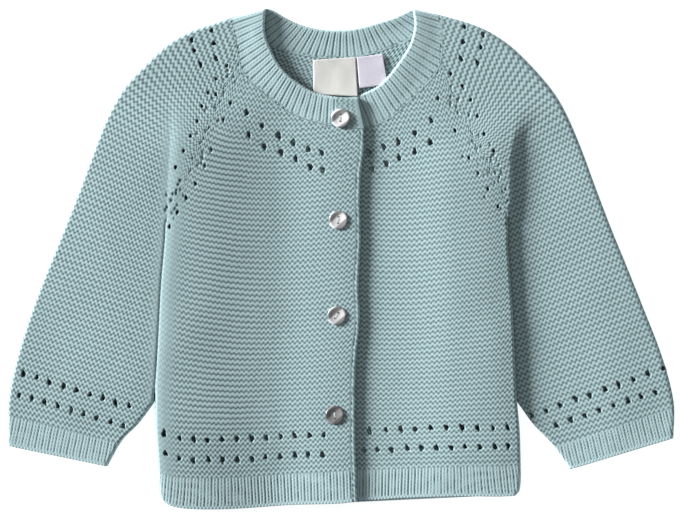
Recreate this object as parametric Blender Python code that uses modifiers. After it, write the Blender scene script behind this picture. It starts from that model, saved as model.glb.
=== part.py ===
"""A baby's knitted cardigan, buttoned and laid flat with its front up.

The frame: +X runs from the wearer's right sleeve to the left one, +Y runs up to the collar and
+Z points up, away from the surface that the back lies on. The origin is the middle of the
garment, on that surface. Lengths below are millimetres, and the meshes are metres.

Each knitted piece is a wall between two lofted skins: a plain one inside, and an outer one that
has the ribs. A loft between rows with different numbers of points is what no modelling tool
makes, so those faces are joined row to row here. The lace holes are Boolean cuts.
"""

import math

import bmesh
import bpy
from mathutils import Vector

MM = 0.001

# ------------------------------------------------------------------ driving dimensions, in mm
WALL = 2.0              # thickness of the garter-stitch fabric
SEAM_INSET = 0.3        # each piece stops this far short of a seam, measured along its rows
FLOOR_LAYER = 2.0       # top of the back and of the undersides of the sleeves
FOLD_FOOT = 2.3         # lowest level of the upper layer, just clear of the floor layer
TOP_LEVEL = 5.6         # usual level of the outer face
LAP_LEVEL = 6.75        # outer face of the buttonhole front, where it lies on the button front
UNDERLAP_LEVEL = 4.4    # outer face of the button front, below the other one
RIB_PITCH = 3.8         # one rib and one groove of the hem and cuffs
RIB_HEIGHT = 0.5        # how far a rib stands above its groove
HEM_RIB = 19.3          # depth of the ribbed hem
CUFF_RIB = 18.5         # depth of the ribbed cuff
BAND_PITCH = 4.2        # one rib and one groove of the neckband, along its middle
BAND_RIB = 0.45         # how far its ribs stand out
SIDE_RIDGE = 2.1        # height of the soft ridge along the body's sides
SIDE_RIDGE_IN = 5.0     # how far inside the side its top runs
SIDE_RIDGE_WIDTH = 8.0  # how far its slopes reach
BODY_SINK = 0.4         # how far the body sinks between its sides
SLEEVE_SINK = 1.2       # depth of the valley beside the body's side, on a sleeve
SLEEVE_SWELL = 1.0      # how far the sleeve rises again
SWELL_RUN = (4.0, 30.0)         # distances from the side over which it does
CREASE_WIDTH = 3.6              # width of the slope from the side ridge down to the sleeve
FOLD_FADE = (58.0, 102.0)       # heights between which the side's fold fades out
UNDERARM_FADE = (20.0, 34.0)    # heights between which the sleeve parts from the body
UNDERARM_Y = 24.0
SEAM_FADE = (16.0, 30.0)        # heights between which a flat seam turns into a fold
LAP_RAMP = (-27.0, -14.5)       # where the buttonhole front climbs
UNDERLAP_RAMP = (12.6, 25.0)    # where the button front dips
RISE_RAMP = (12.0, 40.0)        # distances from the middle over which the neckband lifts more
BODY_ROLL = 3.6         # width over which the body's sides roll down
SLEEVE_ROLL = 3.6       # the same, on the outer fold of a sleeve
INNER_ROLL = 2.6        # the same, on the inner fold of a sleeve
SHOULDER_RISE = 3.2     # how far the neckband's rim stands above the yoke at a shoulder
FRONT_RISE = 0.5        # the same, at the middle of the front
BUTTON_RADIUS = 5.7
BUTTON_HEIGHT = 2.3
BUTTON_SIDES = 20
BUTTON_HOLE = 0.8       # radius of a sewing hole
BUTTON_HOLE_GAP = 1.75  # from a button's middle to the middle of a hole
EYELET_HALF_WIDTH = 1.45
EYELET_HALF_HEIGHT = 2.1

AQUA = (0.30, 0.44, 0.46)
PEARL = (0.42, 0.44, 0.45)
LABEL_WHITE = (0.80, 0.80, 0.82)

# --------------------------------------------------------------------- outlines, as (x, y), mm
# The raglan seams of the front, from the neckband down to the underarm.
RIGHT_RAGLAN = [(-61.2, 119.1), (-66.0, 109.5), (-71.4, 99.9), (-78.3, 82.5), (-86.4, 64.5),
                (-94.2, 44.7), (-104.4, 24.3)]
LEFT_RAGLAN = [(60.0, 117.9), (63.0, 108.3), (66.2, 100.0), (74.4, 81.7), (84.2, 63.5),
               (94.2, 45.3), (100.2, 21.9)]
# The sides of the body, from the underarm down to where a sleeve parts from it, and on down.
RIGHT_SIDE = [(-105.6, 11.1), (-108.0, -16.5), (-109.4, -44.1), (-111.0, -71.7), (-111.8, -85.3)]
LEFT_SIDE = [(100.4, 7.5), (101.5, -6.1), (103.6, -36.9), (105.2, -71.7), (105.9, -86.3)]
RIGHT_FLANK = [(-111.6, -102.9), (-110.4, -120.9), (-109.8, -135.3), (-109.0, -142.0),
               (-106.8, -145.6)]
LEFT_FLANK = [(107.4, -102.9), (108.0, -120.9), (108.0, -134.0), (107.2, -139.5),
              (105.0, -142.3)]
# Where a soft fold carries the line of the body's side up over the top of each sleeve.
RIGHT_CREASE = [(-104.4, 24.3), (-104.0, 42.5), (-102.4, 71.8), (-102.6, 88.0), (-103.0, 120.0)]
LEFT_CREASE = [(100.2, 21.9), (101.0, 39.9), (101.2, 59.1), (102.8, 74.0), (104.0, 120.0)]
# Hem, from the side to the front edge.
RIGHT_HEM = [(-106.8, -145.6), (-102.0, -148.2), (-94.8, -149.7), (-75.6, -150.3),
             (-56.4, -149.7), (-29.4, -147.9), (-1.8, -147.0), (9.6, -145.8)]
LEFT_HEM = [(-13.8, -144.6), (18.6, -145.0), (37.8, -143.8), (57.0, -143.1), (76.2, -142.7),
            (95.4, -142.8), (105.0, -142.3)]
# Front edges, from the neckband down. The right one lies on top.
RIGHT_FRONT_EDGE = [(12.4, 77.7), (12.4, 66.9), (10.8, 49.5), (10.8, 32.1), (11.2, 11.7),
                    (10.4, -14.7), (10.6, -37.5), (9.0, -58.5), (8.5, -80.1), (8.5, -108.3),
                    (9.0, -123.3), (9.6, -145.8)]
LEFT_FRONT_EDGE = [(-13.8, 77.7), (-13.8, -144.6)]
# Neckband, from the shoulder to the front edge: the seam on the yoke, and the rim.
RIGHT_BAND_SEAM = [(-67.2, 144.6), (-63.6, 134.5), (-61.2, 119.1), (-56.4, 108.6), (-47.0, 99.8),
                   (-36.3, 91.2), (-24.6, 84.9), (-9.6, 80.5), (2.4, 78.6), (12.4, 77.7)]
RIGHT_BAND_RIM = [(-45.4, 150.3), (-45.8, 136.3), (-42.7, 126.4), (-37.3, 116.4), (-30.9, 109.2),
                  (-25.0, 104.9), (-16.2, 99.8), (-6.6, 97.4), (2.4, 96.6), (11.0, 96.4)]
LEFT_BAND_SEAM = [(60.3, 146.4), (60.9, 134.5), (60.0, 117.9), (55.2, 108.6), (47.9, 101.0),
                  (37.5, 90.9), (31.0, 85.2), (23.4, 81.0), (12.0, 77.8), (-13.8, 77.7)]
LEFT_BAND_RIM = [(43.0, 150.1), (44.2, 139.8), (41.2, 128.1), (34.6, 117.6), (27.4, 108.4),
                 (22.8, 104.1), (16.2, 100.4), (8.0, 97.6), (-2.0, 96.2), (-13.8, 95.8)]
# The back of the neckband, seen inside the neck, from the right shoulder to the left one.
BACK_BAND_SEAM = [(-67.2, 144.6), (-55.0, 134.0), (-38.4, 126.0), (-22.5, 122.0), (-6.6, 120.3),
                  (8.4, 120.9), (26.3, 125.4), (46.0, 134.0), (60.3, 146.4)]
BACK_BAND_RIM = [(-45.4, 150.3), (-41.6, 149.6), (-33.6, 144.9), (-24.6, 140.7), (-12.6, 138.0),
                 (-0.6, 137.4), (11.4, 139.0), (23.4, 142.3), (32.6, 145.3), (43.0, 150.1)]
# The raglan seams of the back, under the front, from the neckband to the underarm.
RIGHT_BACK_RAGLAN = [(-55.0, 134.0), (-66.0, 112.0), (-77.0, 90.0), (-94.2, 50.0),
                     (-104.4, 24.3)]
LEFT_BACK_RAGLAN = [(46.0, 134.0), (60.0, 112.0), (72.0, 90.0), (90.0, 50.0), (100.2, 21.9)]
# The outer folds of the sleeves, from the neckband to the wrist.
RIGHT_SLEEVE_FOLD = [(-67.2, 144.6), (-78.6, 140.7), (-91.2, 136.3), (-104.4, 128.7),
                     (-117.6, 116.7), (-130.8, 102.3), (-141.0, 84.3), (-148.2, 66.3),
                     (-159.0, 37.5), (-171.0, 7.5), (-183.0, -22.5), (-192.6, -51.0),
                     (-198.0, -72.0), (-200.3, -86.0), (-200.5, -94.0), (-200.5, -112.5)]
LEFT_SLEEVE_FOLD = [(60.3, 146.4), (78.6, 141.0), (90.6, 135.5), (105.0, 125.1),
                    (124.2, 104.7), (133.8, 90.3), (143.4, 68.7), (153.0, 42.9),
                    (162.6, 17.7), (172.2, -5.7), (181.8, -29.7), (191.4, -54.3),
                    (197.0, -72.0), (200.0, -86.0), (200.4, -94.0), (199.8, -108.0)]
# The free inner folds, from where a sleeve parts from the body to the wrist.
RIGHT_SLEEVE_FREE = [(-113.0, -87.5), (-121.8, -99.3), (-131.4, -109.2), (-140.4, -124.8)]
LEFT_SLEEVE_FREE = [(107.6, -88.6), (115.2, -99.0), (127.0, -111.6), (138.0, -126.7)]

# Rows of lace holes: ends of the row, and how many holes.
HEM_LACE = [
    # side, first x, last x, holes, height above the hem's edge
    ("right", -105.5, -10.2, 12, 41.4),
    ("right", -105.3, -10.6, 12, 29.4),
    ("left", 17.6, 100.2, 10, 41.2),
    ("left", 13.4, 100.8, 11, 29.6),
]
CUFF_LACE = [
    # side, first (x, y), last (x, y), holes
    ("right", (-190.8, -69.1), (-126.6, -88.7), 9),
    ("right", (-193.0, -81.9), (-130.5, -100.3), 9),
    ("left", (114.8, -94.3), (193.5, -66.3), 10),
    ("left", (129.8, -100.3), (189.2, -80.1), 8),
]
YOKE_LACE = [
    # side, the line that a row of holes follows, holes
    ("right", [(-56.8, 87.5), (-47.6, 79.5), (-37.0, 73.5), (-19.2, 65.7), (-11.4, 63.4)], 6),
    ("right", [(-55.6, 74.1), (-45.9, 67.1), (-35.5, 63.4), (-18.4, 54.9), (-10.9, 53.1)], 6),
    ("left", [(16.8, 63.4), (25.8, 67.1), (35.0, 69.7), (45.0, 75.5), (54.2, 82.4)], 5),
    ("left", [(18.3, 53.4), (27.2, 57.1), (35.4, 60.5), (44.4, 63.7), (54.2, 69.4)], 5),
]
SHOULDER_LACE = [
    # side, first (x, y), last (x, y), holes
    ("right", (-78.0, 136.4), (-75.0, 121.1), 3),
    ("right", (-89.4, 131.6), (-84.3, 117.3), 3),
    ("left", (73.8, 138.2), (72.0, 120.9), 3),
    ("left", (85.4, 134.2), (82.0, 118.1), 3),
]
# Buttons, from the neck down: middle, turn of the two holes from upright, and level of the seat.
BUTTONS = [
    ("button_1", (-0.4, 84.1), 3.0, 7.85),
    ("button_2", (-1.6, 23.0), -4.0, 7.05),
    ("button_3", (-2.5, -34.3), -32.0, 7.05),
    ("button_4", (-3.8, -94.0), 8.0, 7.05),
]
# Labels: corners from the top left, clockwise, as they lie inside the back neck.
MAIN_LABEL = [(-16.5, 119.1), (9.0, 120.6), (10.2, 99.6), (-13.9, 99.0)]
SIZE_LABEL = [(9.9, 120.9), (25.1, 123.2), (27.0, 109.0), (11.6, 102.4)]
LABEL_THICKNESS = 1.0


# ------------------------------------------------------------------------------ small helpers
def ramp(low, high, value):
    """Rise smoothly from 0 at low to 1 at high."""
    t = min(1.0, max(0.0, (value - low) / (high - low)))
    return t * t * (3.0 - 2.0 * t)


def mix(a, b, t):
    """Go from a to b as t goes from 0 to 1."""
    return a + (b - a) * t


def smooth_line(points, first=0, last=None):
    """A smooth line through points, or its stretch from one point's number to another's.

    Returns the length of that stretch, and a function from a run along it to the point there.
    """
    spots = [Vector(point) for point in points]
    runs = [0.0]
    for before, after in zip(spots, spots[1:]):
        runs.append(runs[-1] + (after - before).length)
    slopes = []
    for i in range(len(spots)):
        low = max(i - 1, 0)
        high = min(i + 1, len(spots) - 1)
        slopes.append((spots[high] - spots[low]) / (runs[high] - runs[low]))

    begin = runs[first]
    end = runs[-1 if last is None else last]

    def at(run):
        run = min(end, max(begin, begin + run))
        i = 0
        while i < len(runs) - 2 and run > runs[i + 1]:
            i += 1
        step = runs[i + 1] - runs[i]
        t = (run - runs[i]) / step
        square = t * t
        cube = square * t
        return (spots[i] * (2 * cube - 3 * square + 1) + slopes[i] * (step * (cube - 2 * square + t))
                + spots[i + 1] * (3 * square - 2 * cube) + slopes[i + 1] * (step * (cube - square)))

    return end - begin, at


def joined_line(first, second):
    """Two lines, each a length and a function of a run, end to end."""
    length = first[0] + second[0]

    def at(run):
        return first[1](run) if run < first[0] else second[1](run - first[0])

    return length, at


def by_share(line):
    """Turn a line into a function of the share, 0 to 1, of its length."""
    length, at = line
    return lambda share: at(share * length)


def share_line(points, first=0, last=None):
    """A smooth line through points, or a stretch of it, as a function of a share."""
    return by_share(smooth_line(points, first, last))


HALVINGS = 30


def value_along(points, x):
    """Read y at x on a smooth line whose points run with growing x."""
    length, at = smooth_line(points)
    low = 0.0
    high = length
    for _ in range(HALVINGS):
        middle = (low + high) / 2
        if at(middle).x < x:
            low = middle
        else:
            high = middle
    return at(low).y


def turned(points):
    """Swap x and y, and put the points in order of the new x."""
    return sorted((y, x) for x, y in points)


# Runs of the rows round the underarm, counted from it, and how far the other rows keep off them.
UNDERARM_STEPS = (-15.0, -9.0, -5.0, -2.0, 1.0, 4.0, 8.0, 14.0)
ROW_CLEAR = 3.5


def row_shares(start, end, count, underarm, length):
    """Shares of the rows along a piece: even ones, and closer ones round the underarm."""
    close = [underarm + step / length for step in UNDERARM_STEPS]
    even = [mix(start, end, i / count) for i in range(count + 1)]
    kept = [v for v in even if min(abs(v - near) for near in close) > ROW_CLEAR / length]
    return sorted(kept + [v for v in close if start < v < end])


def loft_patch(top, bottom, left, right):
    """Blend four edge lines, each a function of a share, into one flat patch of (u, v)."""
    corners = [top(0.0), top(1.0), bottom(0.0), bottom(1.0)]

    def at(u, v):
        across = mix(left(v), right(v), u)
        along = mix(top(u), bottom(u), v)
        flat = mix(mix(corners[0], corners[1], u), mix(corners[2], corners[3], u), v)
        return across + along - flat

    return at


# --------------------------------------------------------------------- the form of the surface
RIGHT_FOLD_X = turned(RIGHT_CREASE + RIGHT_SIDE + RIGHT_FLANK)
LEFT_FOLD_X = turned(LEFT_CREASE + LEFT_SIDE + LEFT_FLANK)


def read_table(table, key):
    """Read a table of (key, value) rows, straight between its rows."""
    if key <= table[0][0]:
        return table[0][1]
    for low, high in zip(table, table[1:]):
        if key <= high[0]:
            return mix(low[1], high[1], (key - low[0]) / (high[0] - low[0]))
    return table[-1][1]


def fold_distance(x, y):
    """How far (x, y) lies inside the line of the body's side. It is negative on a sleeve."""
    return min(x - read_table(RIGHT_FOLD_X, y), read_table(LEFT_FOLD_X, y) - x)


def fold_strength(y):
    """The side fold is full below the underarm and fades out on the way to the shoulder."""
    return 1.0 - ramp(*FOLD_FADE, y)


def side_ridge(distance):
    """The height of the soft ridge, at a distance inside the body's side."""
    return SIDE_RIDGE * math.exp(-((distance - SIDE_RIDGE_IN) / SIDE_RIDGE_WIDTH) ** 2)


def body_level(x, y):
    """The outer face of the body: level, with a soft ridge along each side."""
    return TOP_LEVEL + fold_strength(y) * (side_ridge(fold_distance(x, y)) - BODY_SINK)


def sleeve_level(x, y):
    """The outer face of a sleeve: it drops from the side ridge into a valley, and rises again."""
    distance = -fold_distance(x, y)
    if distance <= 0.0 and y > UNDERARM_Y:
        return body_level(x, y)
    ridge = side_ridge(0.0) - BODY_SINK
    below_underarm = 1.0 - ramp(*UNDERARM_FADE, y)
    drop = max(ramp(0.0, CREASE_WIDTH, distance), below_underarm)
    valley = SLEEVE_SWELL * ramp(*SWELL_RUN, distance) - SLEEVE_SINK
    return TOP_LEVEL + fold_strength(y) * mix(ridge, valley, drop)


def right_front_level(x, y):
    """The buttonhole front climbs onto the button front that it overlaps."""
    return mix(body_level(x, y), LAP_LEVEL, ramp(*LAP_RAMP, x))


def left_front_level(x, y):
    """The button front dips below the other one."""
    return mix(UNDERLAP_LEVEL, body_level(x, y), ramp(*UNDERLAP_RAMP, x))


def band_rise(x, share):
    """How far the neckband stands above the yoke, from its seam at 0 to its rim at 1."""
    away = ramp(*RISE_RAMP, abs(x))
    return mix(FRONT_RISE, SHOULDER_RISE, away) * ramp(0.0, 1.0, share)


# ------------------------------------------------------------------------- walls out of rows
def join_rows(bm, first, second):
    """Fill the strip between two rows of (share, vertex), which may have unlike counts."""
    i = 0
    j = 0
    while i < len(first) - 1 or j < len(second) - 1:
        next_i = first[i + 1][0] if i < len(first) - 1 else math.inf
        next_j = second[j + 1][0] if j < len(second) - 1 else math.inf
        if abs(next_i - next_j) < 1e-6:
            corners = (first[i][1], first[i + 1][1], second[j + 1][1], second[j][1])
            i += 1
            j += 1
        elif next_i < next_j:
            corners = (first[i][1], first[i + 1][1], second[j][1])
            i += 1
        else:
            corners = (first[i][1], second[j + 1][1], second[j][1])
            j += 1
        bm.faces.new(corners)


def place_rows(bm, rows):
    """Make the vertices of rows of (v, [(u, point), ...]), with points in mm."""
    placed = []
    for v, row in rows:
        placed.append((v, [(u, bm.verts.new(Vector(point) * MM)) for u, point in row]))
    return placed


def wall(name, outer, inner, colour):
    """Close the wall between an outer and an inner skin, and return its object."""
    bm = bmesh.new()
    skins = [place_rows(bm, outer), place_rows(bm, inner)]
    for skin in skins:
        for (_, before), (_, after) in zip(skin, skin[1:]):
            join_rows(bm, before, after)
    for end in (0, -1):
        join_rows(bm, skins[0][end][1], skins[1][end][1])
        edges = []
        for skin in skins:
            edges.append([(v, row[end][1]) for v, row in skin])
        join_rows(bm, edges[0], edges[1])
    bmesh.ops.recalc_face_normals(bm, faces=bm.faces)
    return finish(name, bm, colour)


def finish(name, bm, colour, roughness=0.9):
    """Put a mesh into the cardigan's collection as a smooth object of one colour."""
    mesh = bpy.data.meshes.new(name)
    bm.to_mesh(mesh)
    bm.free()
    return dress(bpy.data.objects.new(name, mesh), colour, roughness)


def dress(piece, colour, roughness):
    """Link a piece into the cardigan's collection and give it a material of its own."""
    PARTS.objects.link(piece)
    material = bpy.data.materials.new(piece.name)
    material.use_nodes = True
    shader = material.node_tree.nodes["Principled BSDF"]
    shader.inputs["Base Color"].default_value = (*colour, 1.0)
    shader.inputs["Roughness"].default_value = roughness
    shader.inputs["Metallic"].default_value = 0.0
    piece.data.materials.append(material)
    piece.data.shade_smooth()
    piece.data.set_sharp_from_angle(angle=math.radians(40.0))
    return piece


ROLL_ANGLES = [math.radians(angle) for angle in (0.0, 25.0, 50.0, 90.0)]
INNER_REACH = 0.6       # how much farther in the roll of the inner skin ends
INNER_INSET = 0.5       # how much farther from a seam the inner skin, with its few rows, begins


def rolled_edge(roll, width, inside):
    """Stations from an edge inwards, as (distance, share of the way down to the foot)."""
    start = roll * WALL if inside else 0.0
    reach = width + (INNER_REACH if inside else 0.0)
    inset = SEAM_INSET + (INNER_INSET if inside else 0.0)
    stations = []
    for angle in ROLL_ANGLES:
        distance = mix(start, reach, 1.0 - math.cos(angle))
        stations.append((inset + distance, roll * (1.0 - math.sin(angle))))
    return stations


def number(stations):
    """Give stations across a row the keys by which rows are joined: (key, share, down)."""
    last = len(stations) - 1
    return [(i / last, share, down) for i, (share, down) in enumerate(sorted(stations))]


SEAM_STEP = 4.0         # longest step between points along a curved seam


def refined(stations, across):
    """Add stations between the others, so that a row along a curved seam follows it."""
    full = stations[:1]
    for before, after in zip(stations, stations[1:]):
        pieces = math.ceil((after[1] - before[1]) * across / SEAM_STEP)
        for i in range(1, pieces):
            full.append(tuple(mix(a, b, i / pieces) for a, b in zip(before, after)))
        full.append(after)
    return full


def rib_stations(stations, count):
    """Four points for each of count ribs, between the first and the last of the stations."""
    keys = [(share, key) for key, share, _ in stations]
    downs = [(share, down) for _, share, down in stations]
    first = stations[0][1]
    last = stations[-1][1]
    shares = [last]
    for rib in range(count):
        for part in RIB_PARTS:
            shares.append(mix(first, last, (rib + part) / count))
    return [(read_table(keys, share), share, read_table(downs, share)) for share in sorted(shares)]


RIB_PARTS = (0.0, 0.22, 0.56, 0.78)     # groove, rib, rib and groove, along one pitch
RIBLESS_PARTS = (0.0, 0.5)              # the same where another layer hides the ribs


def rib_profile(phase):
    """The height of a rib, 0 to 1, at a phase counted in ribs."""
    part = phase % 1.0
    groove, up, top, down = RIB_PARTS
    return ramp(groove, up, part) * (1.0 - ramp(top, down, part))


def always(_):
    """Ribs show all along this piece."""
    return True


def beyond_lap(spot):
    """Ribs of the button front show only outside the front that overlaps it."""
    return spot.x > UNDERLAP_RAMP[0]


def skin_row(patch, v, stations, level, inside, relief=None):
    """One row of points of a skin. relief(share, spot) is what a rib adds."""
    row = []
    for key, share, down in stations:
        spot = patch(share, v)
        top = level(spot.x, spot.y) - (WALL if inside else 0.0)
        height = top - down * (top - FOLD_FOOT)
        if relief:
            height += relief(share, spot) * (1.0 - down)
        row.append((key, (spot.x, spot.y, height)))
    return v, row


# -------------------------------------------------------------------------------- the fronts
EVEN_RISE = 120.0       # below this height above the hem, the rows of a front run level
FRONT_ROWS = 16
# Distances of the points of a row from the folded side and from the buttoned edge.
FULL_SIDE = (8.0, 12.0, 16.0, 24.0)
FULL_FREE = (6.0, 19.0, 25.0, 31.0, 38.0)
EDGE_EASE = 0.15        # how far the buttoned edge is eased, as a share of the way down
EDGE_WIDTH = 1.4
PLAIN_SIDE = (10.0, 20.0)
PLAIN_FREE = (19.0, 27.0, 38.0)
RIB_ROWS = ((17.6, 0.0), (1.4, 0.0), (0.0, 0.6))       # height above the hem, and edge rounding


def seam_to_fold(y):
    """A side edge is a plain seam along the raglan, 0, and a fold below the underarm, 1."""
    return 1.0 - ramp(*SEAM_FADE, y)


def make_front(name, band_seam, hem, raglan, side, edge, level, shown):
    """A front with its ribbed hem. raglan, side and edge run down from the neckband."""
    side_length, side_at = smooth_line(raglan + side)
    raglan_length = smooth_line(raglan + side, 0, len(raglan) - 1)[0]
    edge_length, edge_at = smooth_line(edge)
    spare = (side_length - EVEN_RISE) / (edge_length - EVEN_RISE)

    def side_line(v):
        rise = (1.0 - v) * edge_length
        if rise > EVEN_RISE:
            rise = EVEN_RISE + (rise - EVEN_RISE) * spare
        return side_at(side_length - rise)

    def edge_line(v):
        return edge_at(v * edge_length)

    patch = loft_patch(share_line(band_seam, 2), share_line(hem), side_line, edge_line)

    def stations(v, inside):
        across = (edge_line(v) - side_line(v)).length
        fold = rolled_edge(seam_to_fold(side_line(v).y), BODY_ROLL, inside)
        fold += [(distance, 0.0) for distance in (PLAIN_SIDE if inside else FULL_SIDE)]
        free = rolled_edge(0.0 if inside else EDGE_EASE, EDGE_WIDTH, False)
        free += [(distance, 0.0) for distance in (PLAIN_FREE if inside else FULL_FREE)]
        spots = [(distance / across, down) for distance, down in fold]
        spots += [(1.0 - distance / across, 0.0 if inside else down) for distance, down in free]
        return number(spots)

    ribs = round(smooth_line(hem)[0] / RIB_PITCH)

    def relief(drop):
        def at(share, spot):
            return (RIB_HEIGHT * rib_profile(share * ribs) if shown(spot) else 0.0) - drop
        return at

    rib_top = 1.0 - HEM_RIB / edge_length
    underarm_rise = EVEN_RISE + (side_length - raglan_length - EVEN_RISE) / spare
    start = SEAM_INSET / edge_length
    underarm = 1.0 - underarm_rise / edge_length
    rows = row_shares(start, rib_top, FRONT_ROWS, underarm, edge_length * spare)
    width = (edge_line(0.0) - side_line(0.0)).length
    outer = [skin_row(patch, rows[0], refined(stations(rows[0], False), width), level, False)]
    for v in rows[1:]:
        outer.append(skin_row(patch, v, stations(v, False), level, False))
    for rise, drop in RIB_ROWS:
        v = 1.0 - rise / edge_length
        fine = rib_stations(stations(v, False), ribs)
        outer.append(skin_row(patch, v, fine, level, False, relief(drop)))
    inner = [skin_row(patch, rows[0], refined(stations(rows[0], True), width), level, True)]
    for v in row_shares(start, 1.0, FRONT_ROWS // 2, underarm, edge_length * spare)[1:]:
        inner.append(skin_row(patch, v, stations(v, True), level, True))
    return wall(name, outer, inner, AQUA)


def make_fronts():
    """The buttonhole front is the wearer's right one, and lies on the other."""
    right = make_front("front_right", RIGHT_BAND_SEAM, RIGHT_HEM,
                       RIGHT_RAGLAN, RIGHT_SIDE + RIGHT_FLANK, RIGHT_FRONT_EDGE,
                       right_front_level, always)
    left = make_front("front_left", LEFT_BAND_SEAM, list(reversed(LEFT_HEM)),
                      LEFT_RAGLAN, LEFT_SIDE + LEFT_FLANK, LEFT_FRONT_EDGE,
                      left_front_level, beyond_lap)
    return {"right": right, "left": left}


# ------------------------------------------------------------------------------- the sleeves
SLEEVE_ROWS = 19
CREASE_STEPS = 200      # how finely a row is searched for the side's fold
CREASE_LIMITS = (0.45, 7.5)     # smallest share of a row before it, and least distance after it
FOLD_CLEAR = 1.2        # distance from a rolled edge to the next point of its row
FULL_PARTS = (0.3, 0.65, 1.0)   # shares of the way from the fold to the crease's foot
PLAIN_PARTS = (0.5, 1.0)


def make_sleeve(side, neck_line, fold, seam_line, underarm):
    """The upper layer of a sleeve, from the neckband to the ribbed cuff."""
    fold_line = share_line(fold)
    wrist = [fold_line(1.0), seam_line(1.0)]
    patch = loft_patch(neck_line, share_line(wrist), fold_line, seam_line)
    length = smooth_line(fold)[0]
    ribs = round((wrist[1] - wrist[0]).length / RIB_PITCH)

    def crease_share(v, across):
        """Where the side's fold crosses a row, kept off the row's ends."""
        crossing = 0.0
        for step in range(CREASE_STEPS + 1):
            spot = patch(step / CREASE_STEPS, v)
            if fold_distance(spot.x, spot.y) < 0.0:
                crossing = step / CREASE_STEPS
        return min(max(crossing, CREASE_LIMITS[0]), 1.0 - CREASE_LIMITS[1] / across)

    def stations(v, inside):
        across = (seam_line(v) - fold_line(v)).length
        spots = []
        for distance, down in rolled_edge(1.0, SLEEVE_ROLL, inside):
            spots.append((distance / across, down))
        for distance, down in rolled_edge(seam_to_fold(seam_line(v).y), INNER_ROLL, inside):
            spots.append((1.0 - distance / across, down))
        crease = crease_share(v, across)
        foot = crease - CREASE_WIDTH / across
        start = (SLEEVE_ROLL + FOLD_CLEAR) / across
        end = 1.0 - (INNER_ROLL + FOLD_CLEAR) / across
        parts = PLAIN_PARTS if inside else FULL_PARTS
        spots += [(mix(start, foot, part), 0.0) for part in parts]
        spots += [((foot + crease) / 2, 0.0), (crease, 0.0), ((crease + end) / 2, 0.0)]
        return number(spots)

    cuff = 1.0 - CUFF_RIB / length
    start = SEAM_INSET / length
    rows = row_shares(start, cuff, SLEEVE_ROWS, underarm, length)
    outer = []
    for v in rows:
        outer.append(skin_row(patch, v, stations(v, False), sleeve_level, False))
    for rise, drop in RIB_ROWS:
        v = 1.0 - rise * CUFF_RIB / HEM_RIB / length
        fine = rib_stations(stations(v, False), ribs)

        def relief(share, spot, drop=drop):
            return RIB_HEIGHT * rib_profile(share * ribs) - drop

        outer.append(skin_row(patch, v, fine, sleeve_level, False, relief))
    inner = []
    for v in row_shares(start, 1.0, SLEEVE_ROWS // 2, underarm, length):
        inner.append(skin_row(patch, v, stations(v, True), sleeve_level, True))
    return wall(f"sleeve_{side}_top", outer, inner, AQUA)


# How the lower edges of a flat layer round off: (distance from its edge, height of its underside).
FLAT_EDGE = ((SEAM_INSET, 0.9), (SEAM_INSET + 0.25, 0.3), (SEAM_INSET + 0.6, 0.0))


def flat_layer(name, patch, rows, across):
    """A layer that lies flat on the surface, with its lower edges rounded off."""

    def skin(under):
        lines = []
        for v in rows:
            width = across(v)
            stations = []
            for distance, lift in FLAT_EDGE:
                stations.append((distance / width, lift))
                stations.append((1.0 - distance / width, lift))
            line = []
            stations = number(stations)
            if v == rows[0]:
                stations = refined(stations, width)
            for key, share, lift in stations:
                spot = patch(share, v)
                line.append((key, (spot.x, spot.y, lift if under else FLOOR_LAYER)))
            lines.append((v, line))
        return lines

    return wall(name, skin(False), skin(True), AQUA)


def make_sleeves():
    """Each sleeve has an upper and a lower layer, which meet at the sleeve's two folds."""
    back_points = len(BACK_BAND_SEAM)
    shapes = [
        ("right", share_line(RIGHT_BAND_SEAM, 0, 2), share_line(BACK_BAND_SEAM, 0, 1),
         RIGHT_SLEEVE_FOLD, RIGHT_RAGLAN, RIGHT_BACK_RAGLAN, RIGHT_SIDE, RIGHT_FLANK,
         RIGHT_SLEEVE_FREE),
        ("left", share_line(LEFT_BAND_SEAM, 0, 2),
         backwards(share_line(BACK_BAND_SEAM, back_points - 2, back_points - 1)),
         LEFT_SLEEVE_FOLD, LEFT_RAGLAN, LEFT_BACK_RAGLAN, LEFT_SIDE, LEFT_FLANK,
         LEFT_SLEEVE_FREE),
    ]
    tops = {}
    for side, neck, back_neck, fold, raglan, back_raglan, flank, below, free in shapes:
        free_line = smooth_line([flank[-1]] + free)
        front_seam = smooth_line(raglan + flank + below, 0, len(raglan + flank) - 1)
        front_line = by_share(joined_line(front_seam, free_line))
        seam_length = front_seam[0] + free_line[0]
        underarm = smooth_line(raglan + flank + below, 0, len(raglan) - 1)[0] / seam_length
        tops[side] = make_sleeve(side, neck, fold, front_line, underarm)
        back_seam = smooth_line(back_raglan + flank + below, 0, len(back_raglan + flank) - 1)
        back_line = by_share(joined_line(back_seam, free_line))
        fold_line = share_line(fold)
        patch = loft_patch(back_neck, share_line([fold[-1], free[-1]]), fold_line, back_line)

        def across(v, fold_line=fold_line, back_line=back_line):
            return (back_line(v) - fold_line(v)).length

        seam_length = back_seam[0] + free_line[0]
        underarm = smooth_line(back_raglan + flank + below, 0, len(back_raglan) - 1)[0]
        rows = row_shares(SEAM_INSET / seam_length, 1.0, SLEEVE_ROWS, underarm / seam_length,
                          seam_length)
        flat_layer(f"sleeve_{side}_under", patch, rows, across)
    return tops


def backwards(line):
    """Run along a line of shares the other way."""
    return lambda share: line(1.0 - share)


BACK_ROWS = 18


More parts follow.
